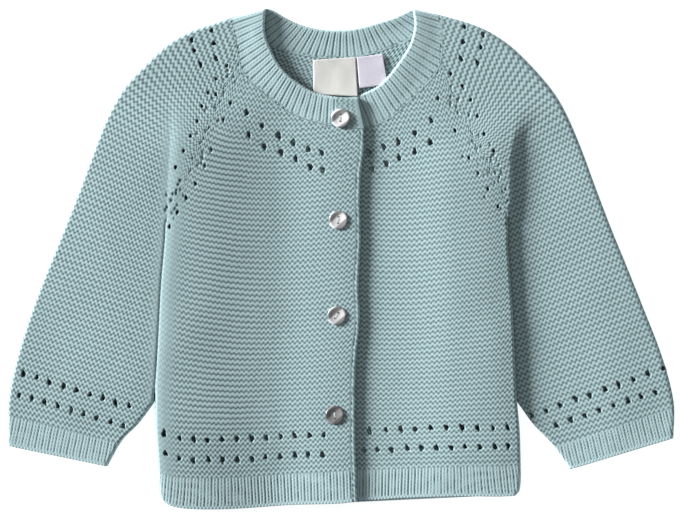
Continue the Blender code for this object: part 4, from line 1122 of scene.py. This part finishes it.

# %% [markdown]
# ## The sleeves
#
# A raglan sleeve is a tube knitted down to its cuff, and it lies folded in two. Its upper layer is
# raised like the fronts, from the outer fold inwards. Its rows run across the sleeve and fan out
# over the shoulder, so a few of them are drawn and the others are counted in between.
# The layer below lies on the table and needs no raised stitches. Both layers are joined along
# their folds into one piece.

# %% Knit the sleeves
SLEEVE_ROLL = {"right": 2.0, "left": 3.0}      # width of the outer fold
INNER_ROLL = 2.0
CUFF_RIB = 18.5
CUFF_TURN = {"right": -12.0, "left": 14.0}     # how far a cuff's edge is turned, in degrees
SLEEVE_SLACK = {"right": (0.6, 0.9), "left": (0.5, 0.85)}    # at its top, and from the elbow on
SLEEVE_STEP = RIB_PITCH / 8
SLEEVE_ROW_STEP = 0.52
UNDER_STEP = 6.0
UNDER_ROLL = 2.4                    # how wide the sides of a layer on the table round up
CUFF_LACE = {
    # first (x, y), last (x, y), holes
    "right": [((-190.8, -69.1), (-126.6, -88.7), 9), ((-193.0, -81.9), (-130.5, -100.3), 9)],
    "left": [((114.8, -94.3), (193.5, -66.3), 10), ((129.8, -100.3), (189.2, -80.1), 8)],
}
SHOULDER_LACE = {
    "right": [(-78.0, 136.4), (-76.5, 128.7), (-75.0, 120.6), (-89.4, 131.6), (-87.8, 124.5),
              (-84.3, 116.7)],
    "left": [(73.8, 138.7), (73.2, 129.6), (72.0, 120.6), (85.4, 135.0), (84.3, 126.3),
             (82.0, 117.8)],
}
SLEEVE_PITS = {
    "right": [(-68.4, 115.6), (-75.0, 107.8), (-79.8, 99.6), (-83.4, 91.5), (-86.1, 82.5),
              (-90.0, 73.5), (-94.2, 64.5), (-99.0, 54.6), (-75.0, 98.5)],
    "left": [(66.0, 110.7), (72.9, 103.5), (78.0, 95.1), (81.9, 85.5), (85.8, 74.7), (91.6, 64.5)],
}


def sleeve_holes(side):
    """All holes of a sleeve."""
    holes = small_holes(SLEEVE_PITS[side])
    for first, last, count in CUFF_LACE[side]:
        turn = math.atan2(last[1] - first[1], last[0] - first[0])
        for i in range(count):
            x = mix(first[0], last[0], i / (count - 1))
            y = mix(first[1], last[1], i / (count - 1))
            holes.append(varied(x, y, 500 + i + int(first[1]) % 50, turn))
    for i, (x, y) in enumerate(SHOULDER_LACE[side]):
        holes.append(varied(x, y, 600 + i, size=0.95))
    return holes


SLEEVE_ROWS = {
    # ridges that are drawn, from the cuff up: a point on each, and how far it slopes to the
    # right, in degrees
    "right": [(-200.0, -130.0, -13.0), (-156.6, -71.7, -16.0), (-150.6, -42.9, -15.5),
              (-144.6, -12.9, -14.5), (-135.6, 17.1, -18.5), (-129.6, 47.1, -23.0),
              (-117.0, 70.0, -28.0), (-113.0, 91.0, -38.0), (-99.6, 102.3, -52.0),
              (-87.6, 117.9, -62.0), (-78.0, 128.1, -70.0)],
    "left": [(200.0, -130.0, 15.0), (154.0, -69.0, 19.0), (149.4, -42.9, 19.5),
             (143.4, -12.9, 21.5), (140.4, 17.1, 23.0), (131.4, 47.1, 25.0), (122.4, 71.1, 29.0),
             (115.2, 89.1, 39.0), (101.4, 102.3, 56.0), (95.4, 119.1, 66.0), (86.0, 128.0, 68.0)],
}


def sleeve_ridges(side, x, y):
    """Count the ridges of a sleeve at each point, by its share of the way between drawn ones."""
    spots = np.array(SLEEVE_ROWS[side])
    slopes = np.radians(spots[:, 2])
    ups = np.stack([-np.sin(slopes), np.cos(slopes)], axis=1)
    above = [(x - spot[0]) * up[0] + (y - spot[1]) * up[1] for spot, up in zip(spots, ups)]
    count = np.minimum(above[0], 0.0)
    for i in range(len(spots) - 1):
        apart = (spots[i + 1, :2] - spots[i, :2]) @ (ups[i] + ups[i + 1]) / 2
        share = above[i] / np.maximum(above[i] - above[i + 1], 0.5)
        share = np.where(above[i + 1] >= 0.0, 1.0, np.clip(share, 0.0, 1.0))
        count = count + apart * share
    return (count + np.maximum(above[-1], 0.0)) / SLEEVE_RIDGE[side == "left"]


def sleeve_slack(side, down):
    """How slack the garter stitch of a sleeve is. Its top is pulled into lines."""
    top, bottom = SLEEVE_SLACK[side]
    return mix(top, bottom, ramp(50.0, 140.0, down))


def sleeve_patch(side, raglan, neck):
    """One layer of a sleeve, from its outer fold to its inner edge. Its raglan ends at one share."""
    fold = Line(SLEEVE_FOLD[side])
    count = len(RAGLAN[side])
    whole = Line(RAGLAN[side] + SIDE[side] + FLANK[side], count - 1, count + len(SIDE[side]) - 1)
    free = Line([SIDE[side][-1]] + SLEEVE_FREE[side])
    lower = Joined(whole, free)
    upper = Line(raglan)
    parting = Line(RAGLAN[side]).length
    parting = parting / (parting + lower.length)
    wrist = Line([SLEEVE_FOLD[side][-1], SLEEVE_FREE[side][-1]])

    def inner(v):
        v = np.asarray(v)
        below = lower.share(np.clip((v - parting) / (1.0 - parting), 0.0, 1.0))
        return np.where((v < parting)[..., None], upper.share(np.minimum(v / parting, 1.0)), below)

    return loft(neck.share, wrist.share, fold.share, inner), fold, inner, lower.length + upper.length


def knit_sleeve_top(side):
    """The raised upper layer: its object, its points, their rows and its inner length."""
    neck = Line(BAND_SEAM[side], 0, 2)
    patch, fold, inner, inner_length = sleeve_patch(side, RAGLAN[side], neck)
    rows = np.linspace(ROW_START / fold.length, 1.0, int(fold.length / SLEEVE_ROW_STEP))
    across = np.linalg.norm(inner(rows) - fold.share(rows), axis=1)[:, None]
    turn = seam_to_fold(inner(rows)[:, 1])[:, None]
    steps = even_steps(across.max() + ROLL_ARC * (SLEEVE_ROLL[side] + INNER_ROLL), SLEEVE_STEP)
    grid = Grid(patch, rows, steps, across, (SLEEVE_ROLL[side], 1.0), (INNER_ROLL, turn))
    down = grid.v * fold.length + np.zeros_like(grid.x)
    rise = fold.length - down
    stitch = grid.run / SLEEVE_STITCH[side == "left"]
    ridge = sleeve_ridges(side, grid.x, grid.y)
    pierce(grid, sleeve_holes(side))
    near_seam = bump(grid.left, SEAM_REACH) * (1.0 - turn)
    near_neck = bump(down, 12.0)
    mess = np.clip(near_seam + near_neck * 0.8, 0.0, 1.0)
    slack = np.maximum(sleeve_slack(side, down), mess)
    stitch, ridge = pulled_about(stitch, ridge, mess)
    quiet = calm(grid.x, grid.y)
    in_garter = ramp(CUFF_RIB - 0.8, CUFF_RIB + 0.8, rise)
    turn_of_cuff = math.radians(CUFF_TURN[side])
    along_cuff = grid.x * math.cos(turn_of_cuff) + grid.y * math.sin(turn_of_cuff)
    cuff = ribbed(along_cuff, rise)
    stitches = SLEEVE_RAISED[side] * quiet * garter(stitch, ridge, slack)
    relief = mix(cuff, stitches, in_garter)
    drawn = in_garter * quiet * (1.0 - grid.rim) * ramp(0.0, 0.8, grid.left)
    relief = open_lace(grid, relief, side, 62)
    relief = meet(meet(meet(relief, grid.left), grid.run), down)
    level = sleeve_level(grid.x, grid.y)
    drop = np.minimum(grid.near_down + grid.far_down * fold_depth(side, grid.y), 1.0)
    points = lay_stitches(grid, level - drop * (level - FOLD_FOOT), relief)
    # Painted shade: in the gaps between the loops, on the rims of the lace holes, and on the right
    # sleeve's outer fold, which faces the sun
    gap = np.maximum(gap_of(relief), HOLE_SHADE * grid.rim)
    gap = mix(gap, PAINTED_FOLD_SHADE, grid.near_down * (side == "right"))
    drawn = drawn * (1.0 - grid.near_down)
    piece = knit_mesh(f"knit_sleeve_{side}", points, grid.last, stitch, ridge, gap, grid.core,
                      {"bottom": 0.9}, (drawn, slack))
    piece.data.materials.append(knitted_cotton)
    area = float(across.mean()) * (fold.length + inner_length) / 2
    edges = points[:, 0], points[np.arange(len(rows)), grid.last], turn[:, 0] > 0.999
    return piece, rows, edges, 2 * area, fold.length


def flat_under(name, patch, rows, across, length, lips, edges=None):
    """A layer that lies on the table: its sides round up to the fold, or to given edges."""
    steps = under_steps(across.max())
    grid = Grid(patch, rows, steps, across, (UNDER_ROLL, 1.0), (UNDER_ROLL, 1.0))
    base = np.stack([grid.x, grid.y, FOLD_FOOT * (grid.near_down + grid.far_down)], axis=-1)
    if edges:
        near, far, folded = edges
        base[:, 0] = near
        base[folded, grid.last[folded]] = far[folded]
    ridge = grid.v * length / RIDGE[0] + np.zeros_like(grid.x)
    piece = knit_mesh(name, base, grid.last, grid.run / STITCH[0], ridge, np.zeros_like(grid.x),
                      None, lips)
    piece.data.materials.append(underside_cotton)
    return piece


def under_steps(width):
    """Columns of a layer on the table: close together at its edges only."""
    rolled = np.array([0.0, 0.6, 1.2, 1.8, 2.4, 3.0, 3.6])
    inner = np.arange(8.0, width, UNDER_STEP)
    return np.concatenate([rolled, inner, [width + 20.0]])


def knit_sleeve_under(side, rows, edges):
    """The lower layer, on the table. It takes the upper one's edges where they fold."""
    neck = Line(BAND_SEAM["back"] if side == "right" else BAND_SEAM["back"][::-1], 0, 1)
    patch, fold, inner, _ = sleeve_patch(side, BACK_RAGLAN[side], neck)
    across = np.linalg.norm(inner(rows) - fold.share(rows), axis=1)[:, None]
    return flat_under(f"{side}_sleeve_under", patch, rows, across, fold.length, {"bottom": -0.9},
                      edges=edges)


def join_pieces(pieces):
    """Join pieces into the first of them."""
    bpy.ops.object.select_all(action="DESELECT")
    for piece in pieces:
        piece.select_set(True)
    bpy.context.view_layer.objects.active = pieces[0]
    bpy.ops.object.join()
    bpy.ops.object.select_all(action="DESELECT")
    return pieces[0]


def weld(piece, fill=False):
    """Merge the points that two joined layers share, and close what stays open if asked."""
    bpy.context.view_layer.objects.active = piece
    bpy.ops.object.mode_set(mode="EDIT")
    bpy.ops.mesh.select_all(action="SELECT")
    bpy.ops.mesh.remove_doubles(threshold=0.005 * MM)
    if fill:
        bpy.ops.mesh.fill_holes(sides=0)
    bpy.ops.mesh.select_all(action="DESELECT")
    bpy.ops.object.mode_set(mode="OBJECT")
    return piece


for side in ("right", "left"):
    top, rows, edges, area, long = knit_sleeve_top(side)
    sleeve = weld(join_pieces([top, knit_sleeve_under(side, rows, edges)]))
    settle_piece(sleeve, [f"sleeve_{side}_top", f"sleeve_{side}_under"])
    print(side, "sleeve: cut area", round(area), "mm2, length", round(long), "mm")

# %% [markdown]
# ## The back
#
# Little of the back shows: its inside, within the neck, behind the labels. Its other face lies on
# the table. So only the first rows below the neckband are raised, and the rest is a plain sheet.
# Its edges round up to meet the folds of the fronts, which makes each side one soft tube.

# %% Knit the back
BACK_SHOWN = 62.0                   # how far below the neckband the inside is raised
BACK_STEP = 0.6
BACK_COLUMN_STEP = 0.62
BACK_PLAIN_ROWS = 70                # rows of the part that isn't raised


def knit_back():
    """Both faces of the back."""
    sides = [Line(BACK_RAGLAN[side] + SIDE[side] + FLANK[side]) for side in ("right", "left")]
    hem = Line(HEM["right"][:-1] + HEM["left"][2:])
    count = len(BAND_SEAM["back"])
    neck = Line(BAND_SEAM["back"], 1, count - 2)
    patch = loft(neck.share, hem.share, sides[0].share, sides[1].share)
    length = sides[0].length
    shown = np.arange(ROW_START, BACK_SHOWN, BACK_STEP)
    rest = np.linspace(BACK_SHOWN, length, BACK_PLAIN_ROWS)
    rows = np.concatenate([shown, rest]) / length
    across = np.linalg.norm(sides[1].share(rows) - sides[0].share(rows), axis=1)[:, None]
    steps = even_steps(across.max() + 2.0, BACK_COLUMN_STEP)
    grid = Grid(patch, rows, steps, across, (1.0, 0.0), (1.0, 0.0))
    depth = grid.v * length + np.zeros_like(grid.x)
    stitch, ridge = pulled_about(grid.distance / STITCH[0], depth / RIDGE[0], 0.5)
    relief = garter(stitch, ridge, 1.0) * (1.0 - ramp(BACK_SHOWN - 8, BACK_SHOWN - 2, depth))
    relief = relief * ramp(0.0, 2.0, np.minimum(grid.distance, across - grid.distance) - EDGE_GAP)
    edge_rise = (FOLD_FOOT - FLOOR_LAYER) * (1.0 - ramp(0.0, 4.0, np.minimum(grid.run, grid.left)))
    base = np.stack([grid.x, grid.y, FLOOR_LAYER + edge_rise + relief], axis=-1)
    slack = np.ones_like(relief)
    inside = knit_mesh("knit_back", base, grid.last, stitch, ridge, gap_of(relief), None, {},
                       (slack, slack))
    inside.data.materials.append(knitted_cotton)
    outside = flat_under("back_under", patch, rows, across, length, {})
    area = float(across.mean()) * length
    return weld(join_pieces([inside, outside]), fill=True), area, float(across.max()), length


back, back_area, back_wide, back_long = knit_back()
settle_piece(back, ["back"])
print("back: cut area", round(back_area), "mm2")

# %% [markdown]
# ## The neckband
#
# The neckband is one ribbed strip, picked up round the neck and cast off loosely, so its rim is a
# smooth rounded edge. Its ribs stand across the strip. Each front stretch rises towards the
# shoulder, where it turns over and goes on as the back stretch, whose inside shows in the neck.

# %% Knit the neckband
BAND_STEP = 0.42
BAND_RIM_ROLL = 1.5
BAND_RIM_WIDTH = 2.2
ROWS_PER_RIB = 10
RIM_DROP = 1.6
FRONT_RISE = 0.5
SHOULDER_RISE = 1.7
PLAIN_END = -3.4                    # the buttonhole end is garter stitch from this x on


def band_relief(part, grid, count):
    """Ribs, with a narrow cast-off rim, and the plain end that has the first buttonhole."""
    place = grid.v * count + np.zeros_like(grid.x)
    ribs = 0.85 * rib(place, grid.run / RIB_STITCH, BAND_STRANDS)
    rim = 0.16 + 0.12 * np.cos(4 * math.pi * place) + 0.08 * noise(place * 4, grid.run, 1.5, 43)
    relief = mix(rim, ribs, ramp(BAND_RIM_WIDTH - 1.2, BAND_RIM_WIDTH + 0.6, grid.run))
    picked = garter(*pulled_about(place * BAND_PITCH / STITCH[0], grid.left / RIDGE[0] + 0.5, 1.0), 1.0)
    ragged = grid.left - 0.9 * noise(place, grid.left, 0.6, 44)
    relief = mix(picked, relief, ramp(0.6, 1.8, ragged))
    if part == "right":
        spot = pulled_about(grid.run / STITCH[0], place * BAND_PITCH / RIDGE[0], 0.9)
        plain = 0.7 * garter(*spot, 1.0)
        relief = mix(relief, plain, ramp(PLAIN_END, PLAIN_END + 1.5, grid.x))
    return meet(relief, grid.left)


def knit_band(part, level):
    """One stretch of the neckband, laid out from its rim to its seam."""
    seam = Line(BAND_SEAM[part])
    rim = Line(BAND_RIM[part])
    length = (seam.length + rim.length) / 2
    count = round(length / BAND_PITCH)

    def patch(u, v):
        return mix(rim.share(v), seam.share(v), u[..., None])

    rows = np.linspace(0.0, 1.0, count * ROWS_PER_RIB + 1)
    across = np.linalg.norm(seam.share(rows) - rim.share(rows), axis=1)[:, None]
    steps = even_steps(across.max() + 2.0, BAND_STEP)
    grid = Grid(patch, rows, steps, across, (BAND_RIM_ROLL, 1.0), (0.4, 0.0))
    relief = band_relief(part, grid, count)
    if part == "back":
        top = FLOOR_LAYER + 0.1 + 0.5 * bump(grid.run - 3.0, 5.0)
        height = top - RIM_DROP * grid.near_down
    else:
        seam_share = 1.0 - grid.distance / across
        rise = mix(FRONT_RISE, SHOULDER_RISE, ramp(12.0, 40.0, np.abs(grid.x)))
        top = level(grid.x, grid.y) + rise * ramp(0.0, 1.0, seam_share)
        if part == "right":
            end = (1.0 - grid.v) * length
            top = top - 0.4 * np.clip(1.0 - end / SELVEDGE, 0.0, 1.0) ** 2
            relief = mix(0.1, relief, ramp(0.4, SELVEDGE, end))
            top = top - dent(grid, BUTTON_PLACES[0])
        turn = np.minimum(grid.v * length / BODY_ROLL, 1.0)
        turned = 1.0 - np.sqrt(1.0 - (1.0 - turn) ** 2)
        height = top - RIM_DROP * grid.near_down
        height = height - turned * (height - FOLD_FOOT)
    points = lay_stitches(grid, height, relief)
    lips = {"near": 0.5, "bottom": 0.9} if part == "right" else {"near": 0.5}
    piece = knit_mesh(f"knit_neckband_{part}", points, grid.last, grid.run / STITCH[0],
                      grid.v * count + np.zeros_like(grid.x), gap_of(relief), None, lips)
    settle_piece(piece, [f"neckband_{part}"], knitted_cotton)
    return piece, float(across.mean()), length


bands = {part: knit_band(part, level) for part, level in
         (("right", right_front_level), ("left", left_front_level), ("back", None))}
for part, (piece, wide, long) in bands.items():
    print("neckband", part, round(wide), "x", round(long), "mm")

# %% [markdown]
# ## Labels
#
# Two woven labels are sewn under the back neckband: a wide one, and a narrow one with the size.
# Both are left bare here. Each is a loop of satin tape, folded at its lower end. It is made from a
# grid whose lower end is lifted a little, and Solidify gives it the thickness of the two layers.
# The size label lies nearly flat, so that its corner goes under the neckband.

# %% Sew in the labels
LABELS = {
    # corners from the top left, clockwise
    "main": [(-16.9, 119.4), (9.0, 121.1), (10.3, 97.3), (-16.6, 98.6)],
    "size": [(9.6, 121.0), (25.0, 123.0), (28.2, 104.6), (11.1, 102.2)],
}
LABEL_LEVEL = {"main": 2.75, "size": 3.05}
LABEL_LIFT = {"main": 1.6, "size": 0.4}
LABEL_THICKNESS = 0.45
LABEL_GRID = (30, 26)
LABEL_STITCHES = (10.0, 8.0)        # the weave's count across a label and down it


def satin_tape(name, low, high):
    """Woven tape between two near whites: fine ribs across, and a slight shine."""
    material, tree, shader = new_material(name, {"Roughness": 0.45, "Sheen Weight": 0.2})
    weave = tree.nodes.new("ShaderNodeTexWave")
    weave.bands_direction = "Y"
    weave.inputs["Scale"].default_value = 12.0
    weave.inputs["Distortion"].default_value = 0.3
    tree.links.new(stitch_map(tree), weave.inputs["Vector"])
    colour = mix_node(tree, weave.outputs["Fac"], low, high)
    tree.links.new(colour, shader.inputs["Base Color"])
    normal = bump_node(tree, weave.outputs["Fac"], WEAVE_HEIGHT)
    tree.links.new(normal, shader.inputs["Normal"])
    return material


LABEL_TAPE = {
    "main": satin_tape("main_label_tape", (0.61, 0.615, 0.59, 1.0), (0.67, 0.675, 0.645, 1.0)),
    "size": satin_tape("size_label_tape", (0.63, 0.61, 0.71, 1.0), (0.70, 0.68, 0.77, 1.0)),
}


def sew_label(part):
    """One label."""
    corners = np.array(LABELS[part])
    u, v = np.meshgrid(*(np.linspace(0.0, 1.0, count) for count in LABEL_GRID))
    top = mix(corners[0], corners[1], u[..., None])
    bottom = mix(corners[3], corners[2], u[..., None])
    flat = mix(top, bottom, v[..., None])
    lift = LABEL_LIFT[part] * v ** 2 * mix(0.4, 1.0, u)
    lift = lift + 0.12 * noise(flat[..., 0], flat[..., 1], 7.0, 41)
    points = np.dstack([flat, LABEL_LEVEL[part] + lift])
    last = np.full(len(points), points.shape[1] - 1)
    piece = knit_mesh(f"label_{part}_tape", points, last, u * LABEL_STITCHES[0],
                      v * LABEL_STITCHES[1], np.zeros_like(u))
    thick = piece.modifiers.new("two layers", "SOLIDIFY")
    thick.thickness = LABEL_THICKNESS * MM
    thick.offset = 1.0
    settle_piece(piece, [f"label_{part}"], LABEL_TAPE[part])
    return piece, np.linalg.norm(corners[1] - corners[0]), np.linalg.norm(corners[3] - corners[0])


labels = {part: sew_label(part) for part in LABELS}

# %% [markdown]
# ## Buttons
#
# The buttons are turned from shell: a thin disc with a low rim, a sunk face and two holes, sewn on
# with pale thread. A cylinder is a good start. Its face is inset and pushed down to leave the rim,
# the edges are bevelled, and two cylinders cut the holes. Shell has soft bands of white and grey,
# partly its own layers and partly its sheen; the material paints both into its colour along wavy
# layers, as painted sheen, with a clear gloss over them. The four buttons differ in how light their
# shell is.

# %% Shell and thread
BUTTON_RADIUS = 5.7
BUTTON_HEIGHT = 1.5
RIM_WIDTH = 1.3
HOLE_RADIUS = 0.72
HOLE_OFFSET = 1.75
RIM_HEIGHT = 0.3
DISH_WIDTH = 0.8                    # the slope from the rim down to the sunk face
DISH_DEPTH = 0.35
FACE_LEVEL = 1.05                   # the sunk face of a button, above its seat
BACK_INSET = 0.9
WORN_EDGE = 0.28
THREAD_RADIUS = 0.27
THREAD_APART = 0.22                 # from the middle to each of the two threads
THREAD_SINK = 0.25
THREAD_FLATNESS = 0.32
SMOOTH_ANGLE = 35.0                 # degrees
BUTTONS = [
    # turn of the holes from upright in degrees, seat, lightness of the shell
    (3.0, 7.15, 1.0),
    (-4.0, 6.35, 0.85),
    (-32.0, 6.35, 0.6),
    (8.0, 6.35, 0.0),
]


def shell(name, light):
    """Mother-of-pearl: cloudy layers and painted sheen under a gloss."""
    material, tree, shader = new_material(name, {
        "Roughness": 0.22, "Coat Weight": 0.6, "Coat Roughness": 0.08})
    turned = tree.nodes.new("ShaderNodeMapping")
    turned.inputs["Rotation"].default_value = (0.0, 0.0, math.radians(50.0))
    tree.links.new(own_place(tree), turned.inputs["Vector"])
    layers = tree.nodes.new("ShaderNodeTexWave")
    layers.bands_direction = "X"
    for label, value in (("Scale", 42.0), ("Distortion", 2.5), ("Detail", 2.0), ("Detail Scale", 0.5)):
        layers.inputs[label].default_value = value
    tree.links.new(turned.outputs["Vector"], layers.inputs["Vector"])
    # bands of white and grey: the shell's own layers and its sheen, painted into the base colour
    shell_and_sheen_bands = math_node(tree, "MULTIPLY_ADD", layers.outputs["Fac"], 2.6, -0.6, clamp=True)
    dark = mix(0.09, 0.27, light)
    pale = mix(0.26, 0.92, light)
    cloudy = mix_node(tree, shell_and_sheen_bands, (dark, dark * 1.01, dark * 1.03, 1.0),
                      (pale, pale * 0.98, pale * 1.0, 1.0))
    tree.links.new(cloudy, shader.inputs["Base Color"])
    return material


def pale_thread():
    """Pale sewing thread, a little fuzzy."""
    material, tree, shader = new_material("sewing_thread", {"Roughness": 0.7})
    twist = noise_node(tree, own_place(tree), 3000.0, 1.0)
    colour = mix_node(tree, twist, (0.42, 0.46, 0.47, 1.0), (0.66, 0.70, 0.71, 1.0))
    tree.links.new(colour, shader.inputs["Base Color"])
    return material


sewing_thread = pale_thread()


# %% Turn the buttons
def select_faces(piece, wanted):
    """Select, in edit mode, the faces for which wanted(face) is true."""
    bpy.ops.mesh.select_all(action="DESELECT")
    bpy.ops.object.mode_set(mode="OBJECT")
    for face in piece.data.polygons:
        face.select = wanted(face)
    bpy.ops.object.mode_set(mode="EDIT")
    bpy.ops.mesh.select_mode(type="FACE")


def turn_button(name, light):
    """Model one button from a cylinder."""
    bpy.ops.object.select_all(action="DESELECT")
    bpy.ops.mesh.primitive_cylinder_add(vertices=56, radius=BUTTON_RADIUS * MM,
                                        depth=(BUTTON_HEIGHT - RIM_HEIGHT) * MM)
    button = bpy.context.active_object
    button.name = f"{name}_shell"
    bpy.ops.object.mode_set(mode="EDIT")
    select_faces(button, lambda face: face.normal.z > 0.9)
    bpy.ops.mesh.inset(thickness=RIM_WIDTH * 0.45 * MM)
    bpy.ops.transform.translate(value=(0, 0, RIM_HEIGHT * MM))
    bpy.ops.mesh.inset(thickness=RIM_WIDTH * 0.55 * MM)
    bpy.ops.mesh.inset(thickness=DISH_WIDTH * MM)
    bpy.ops.transform.translate(value=(0, 0, -DISH_DEPTH * MM))
    select_faces(button, lambda face: face.normal.z < -0.9)
    bpy.ops.mesh.inset(thickness=BACK_INSET * MM)
    bpy.ops.mesh.select_all(action="DESELECT")
    bpy.ops.object.mode_set(mode="OBJECT")
    bevel = button.modifiers.new("worn edges", "BEVEL")
    bevel.width = WORN_EDGE * MM
    bevel.segments = 3
    bpy.ops.object.modifier_apply(modifier=bevel.name)
    for offset in (-HOLE_OFFSET, HOLE_OFFSET):
        bpy.ops.object.select_all(action="DESELECT")
        bpy.ops.mesh.primitive_cylinder_add(vertices=24, radius=HOLE_RADIUS * MM, depth=6 * MM,
                                            location=(0, offset * MM, 0))
        drill = bpy.context.active_object
        hole = button.modifiers.new("hole", "BOOLEAN")
        hole.operation = "DIFFERENCE"
        hole.solver = "EXACT"
        hole.object = drill
        bpy.context.view_layer.objects.active = button
        bpy.ops.object.modifier_apply(modifier=hole.name)
        bpy.data.objects.remove(drill, do_unlink=True)
    button.data.materials.clear()
    button.data.materials.append(shell(f"{name}_mother_of_pearl", light))
    return button


def sew_on(name):
    """The thread between the two holes: half of a flattened ring stands above the shell."""
    bpy.ops.object.select_all(action="DESELECT")
    strands = []
    for side in (-THREAD_APART, THREAD_APART):
        bpy.ops.mesh.primitive_torus_add(major_radius=HOLE_OFFSET * MM,
                                         minor_radius=THREAD_RADIUS * MM,
                                         major_segments=32, minor_segments=10,
                                         rotation=(0, math.pi / 2, 0),
                                         location=(side * MM, 0, 0))
        strands.append(bpy.context.active_object)
    thread = join_pieces(strands)
    thread.name = f"{name}_thread"
    thread.data.materials.append(sewing_thread)
    return thread


def place_piece(piece, middle, turn, height, flatten=1.0):
    """Move a piece to its place and apply that to its mesh."""
    bpy.ops.object.select_all(action="DESELECT")
    piece.select_set(True)
    bpy.context.view_layer.objects.active = piece
    bpy.ops.object.transform_apply(location=True, rotation=True, scale=True)
    piece.scale = (1.0, 1.0, flatten)
    piece.rotation_euler = (0.0, 0.0, math.radians(turn))
    piece.location = (middle[0] * MM, middle[1] * MM, height * MM)
    bpy.ops.object.transform_apply(location=True, rotation=True, scale=True)
    bpy.ops.object.shade_smooth_by_angle(angle=math.radians(SMOOTH_ANGLE))
    piece.select_set(False)


for number, (middle, (turn, seat, light)) in enumerate(zip(BUTTON_PLACES, BUTTONS), 1):
    name = f"button_{number}"
    button = turn_button(name, light)
    place_piece(button, middle, turn, seat + BUTTON_HEIGHT / 2)
    settle_piece(button, [name])
    thread = sew_on(name)
    place_piece(thread, middle, turn, seat + FACE_LEVEL - THREAD_SINK, flatten=THREAD_FLATNESS)
    settle_piece(thread, [])
    print(name, len(button.data.polygons), "faces")

# %% [markdown]
#
# Each knitted piece is a sheet that was blocked flat before it was sewn. Its cut, worked out from
# the outlines, is printed where the piece is made: a sleeve's is the whole tube, opened out.

# %% [markdown]
# ## Floor and light
#
# The photograph is a cut-out on white, lit softly from the upper left: the front edge and the
# body's side throw a soft shadow to the right. A pale floor, a dim sky and a low sun with a wide
# disc on that side give the same.

# %% Floor, lamp and world
FLOOR_SIZE = 6.0                    # metres
FLOOR_GAP = 0.3                     # the floor lies this far below the cloth, in mm
bpy.ops.mesh.primitive_plane_add(size=FLOOR_SIZE)
floor = bpy.context.active_object
floor.name = "floor"
paper, _, _ = new_material("white_paper", {
    "Base Color": (0.92, 0.92, 0.92, 1.0), "Roughness": 0.9,
    "Emission Color": (1.0, 1.0, 1.0, 1.0), "Emission Strength": 0.75})
floor.data.materials.append(paper)

SUN_HEIGHT = 17.0                   # degrees above the floor
SUN_SIDE = 160.0                    # degrees from +X, so from the left and a little from the top
SUN_SIZE = 18.0
SUN_POWER = 8.2
SKY_POWER = 0.28

key = bpy.data.lights.new("key", "SUN")
key.angle = math.radians(SUN_SIZE)
key.energy = SUN_POWER
key_light = bpy.data.objects.new("key", key)
key_light.rotation_euler = (math.radians(90.0 - SUN_HEIGHT), 0.0, math.radians(SUN_SIDE + 90.0))
bpy.context.scene.collection.objects.link(key_light)
floor.location.z = -FLOOR_GAP * MM
world = bpy.data.worlds.new("studio")
world.use_nodes = True
world.node_tree.nodes["Background"].inputs["Color"].default_value = (1.0, 1.0, 1.0, 1.0)
world.node_tree.nodes["Background"].inputs["Strength"].default_value = SKY_POWER
bpy.context.scene.world = world
bpy.context.scene.view_settings.view_transform = "Standard"
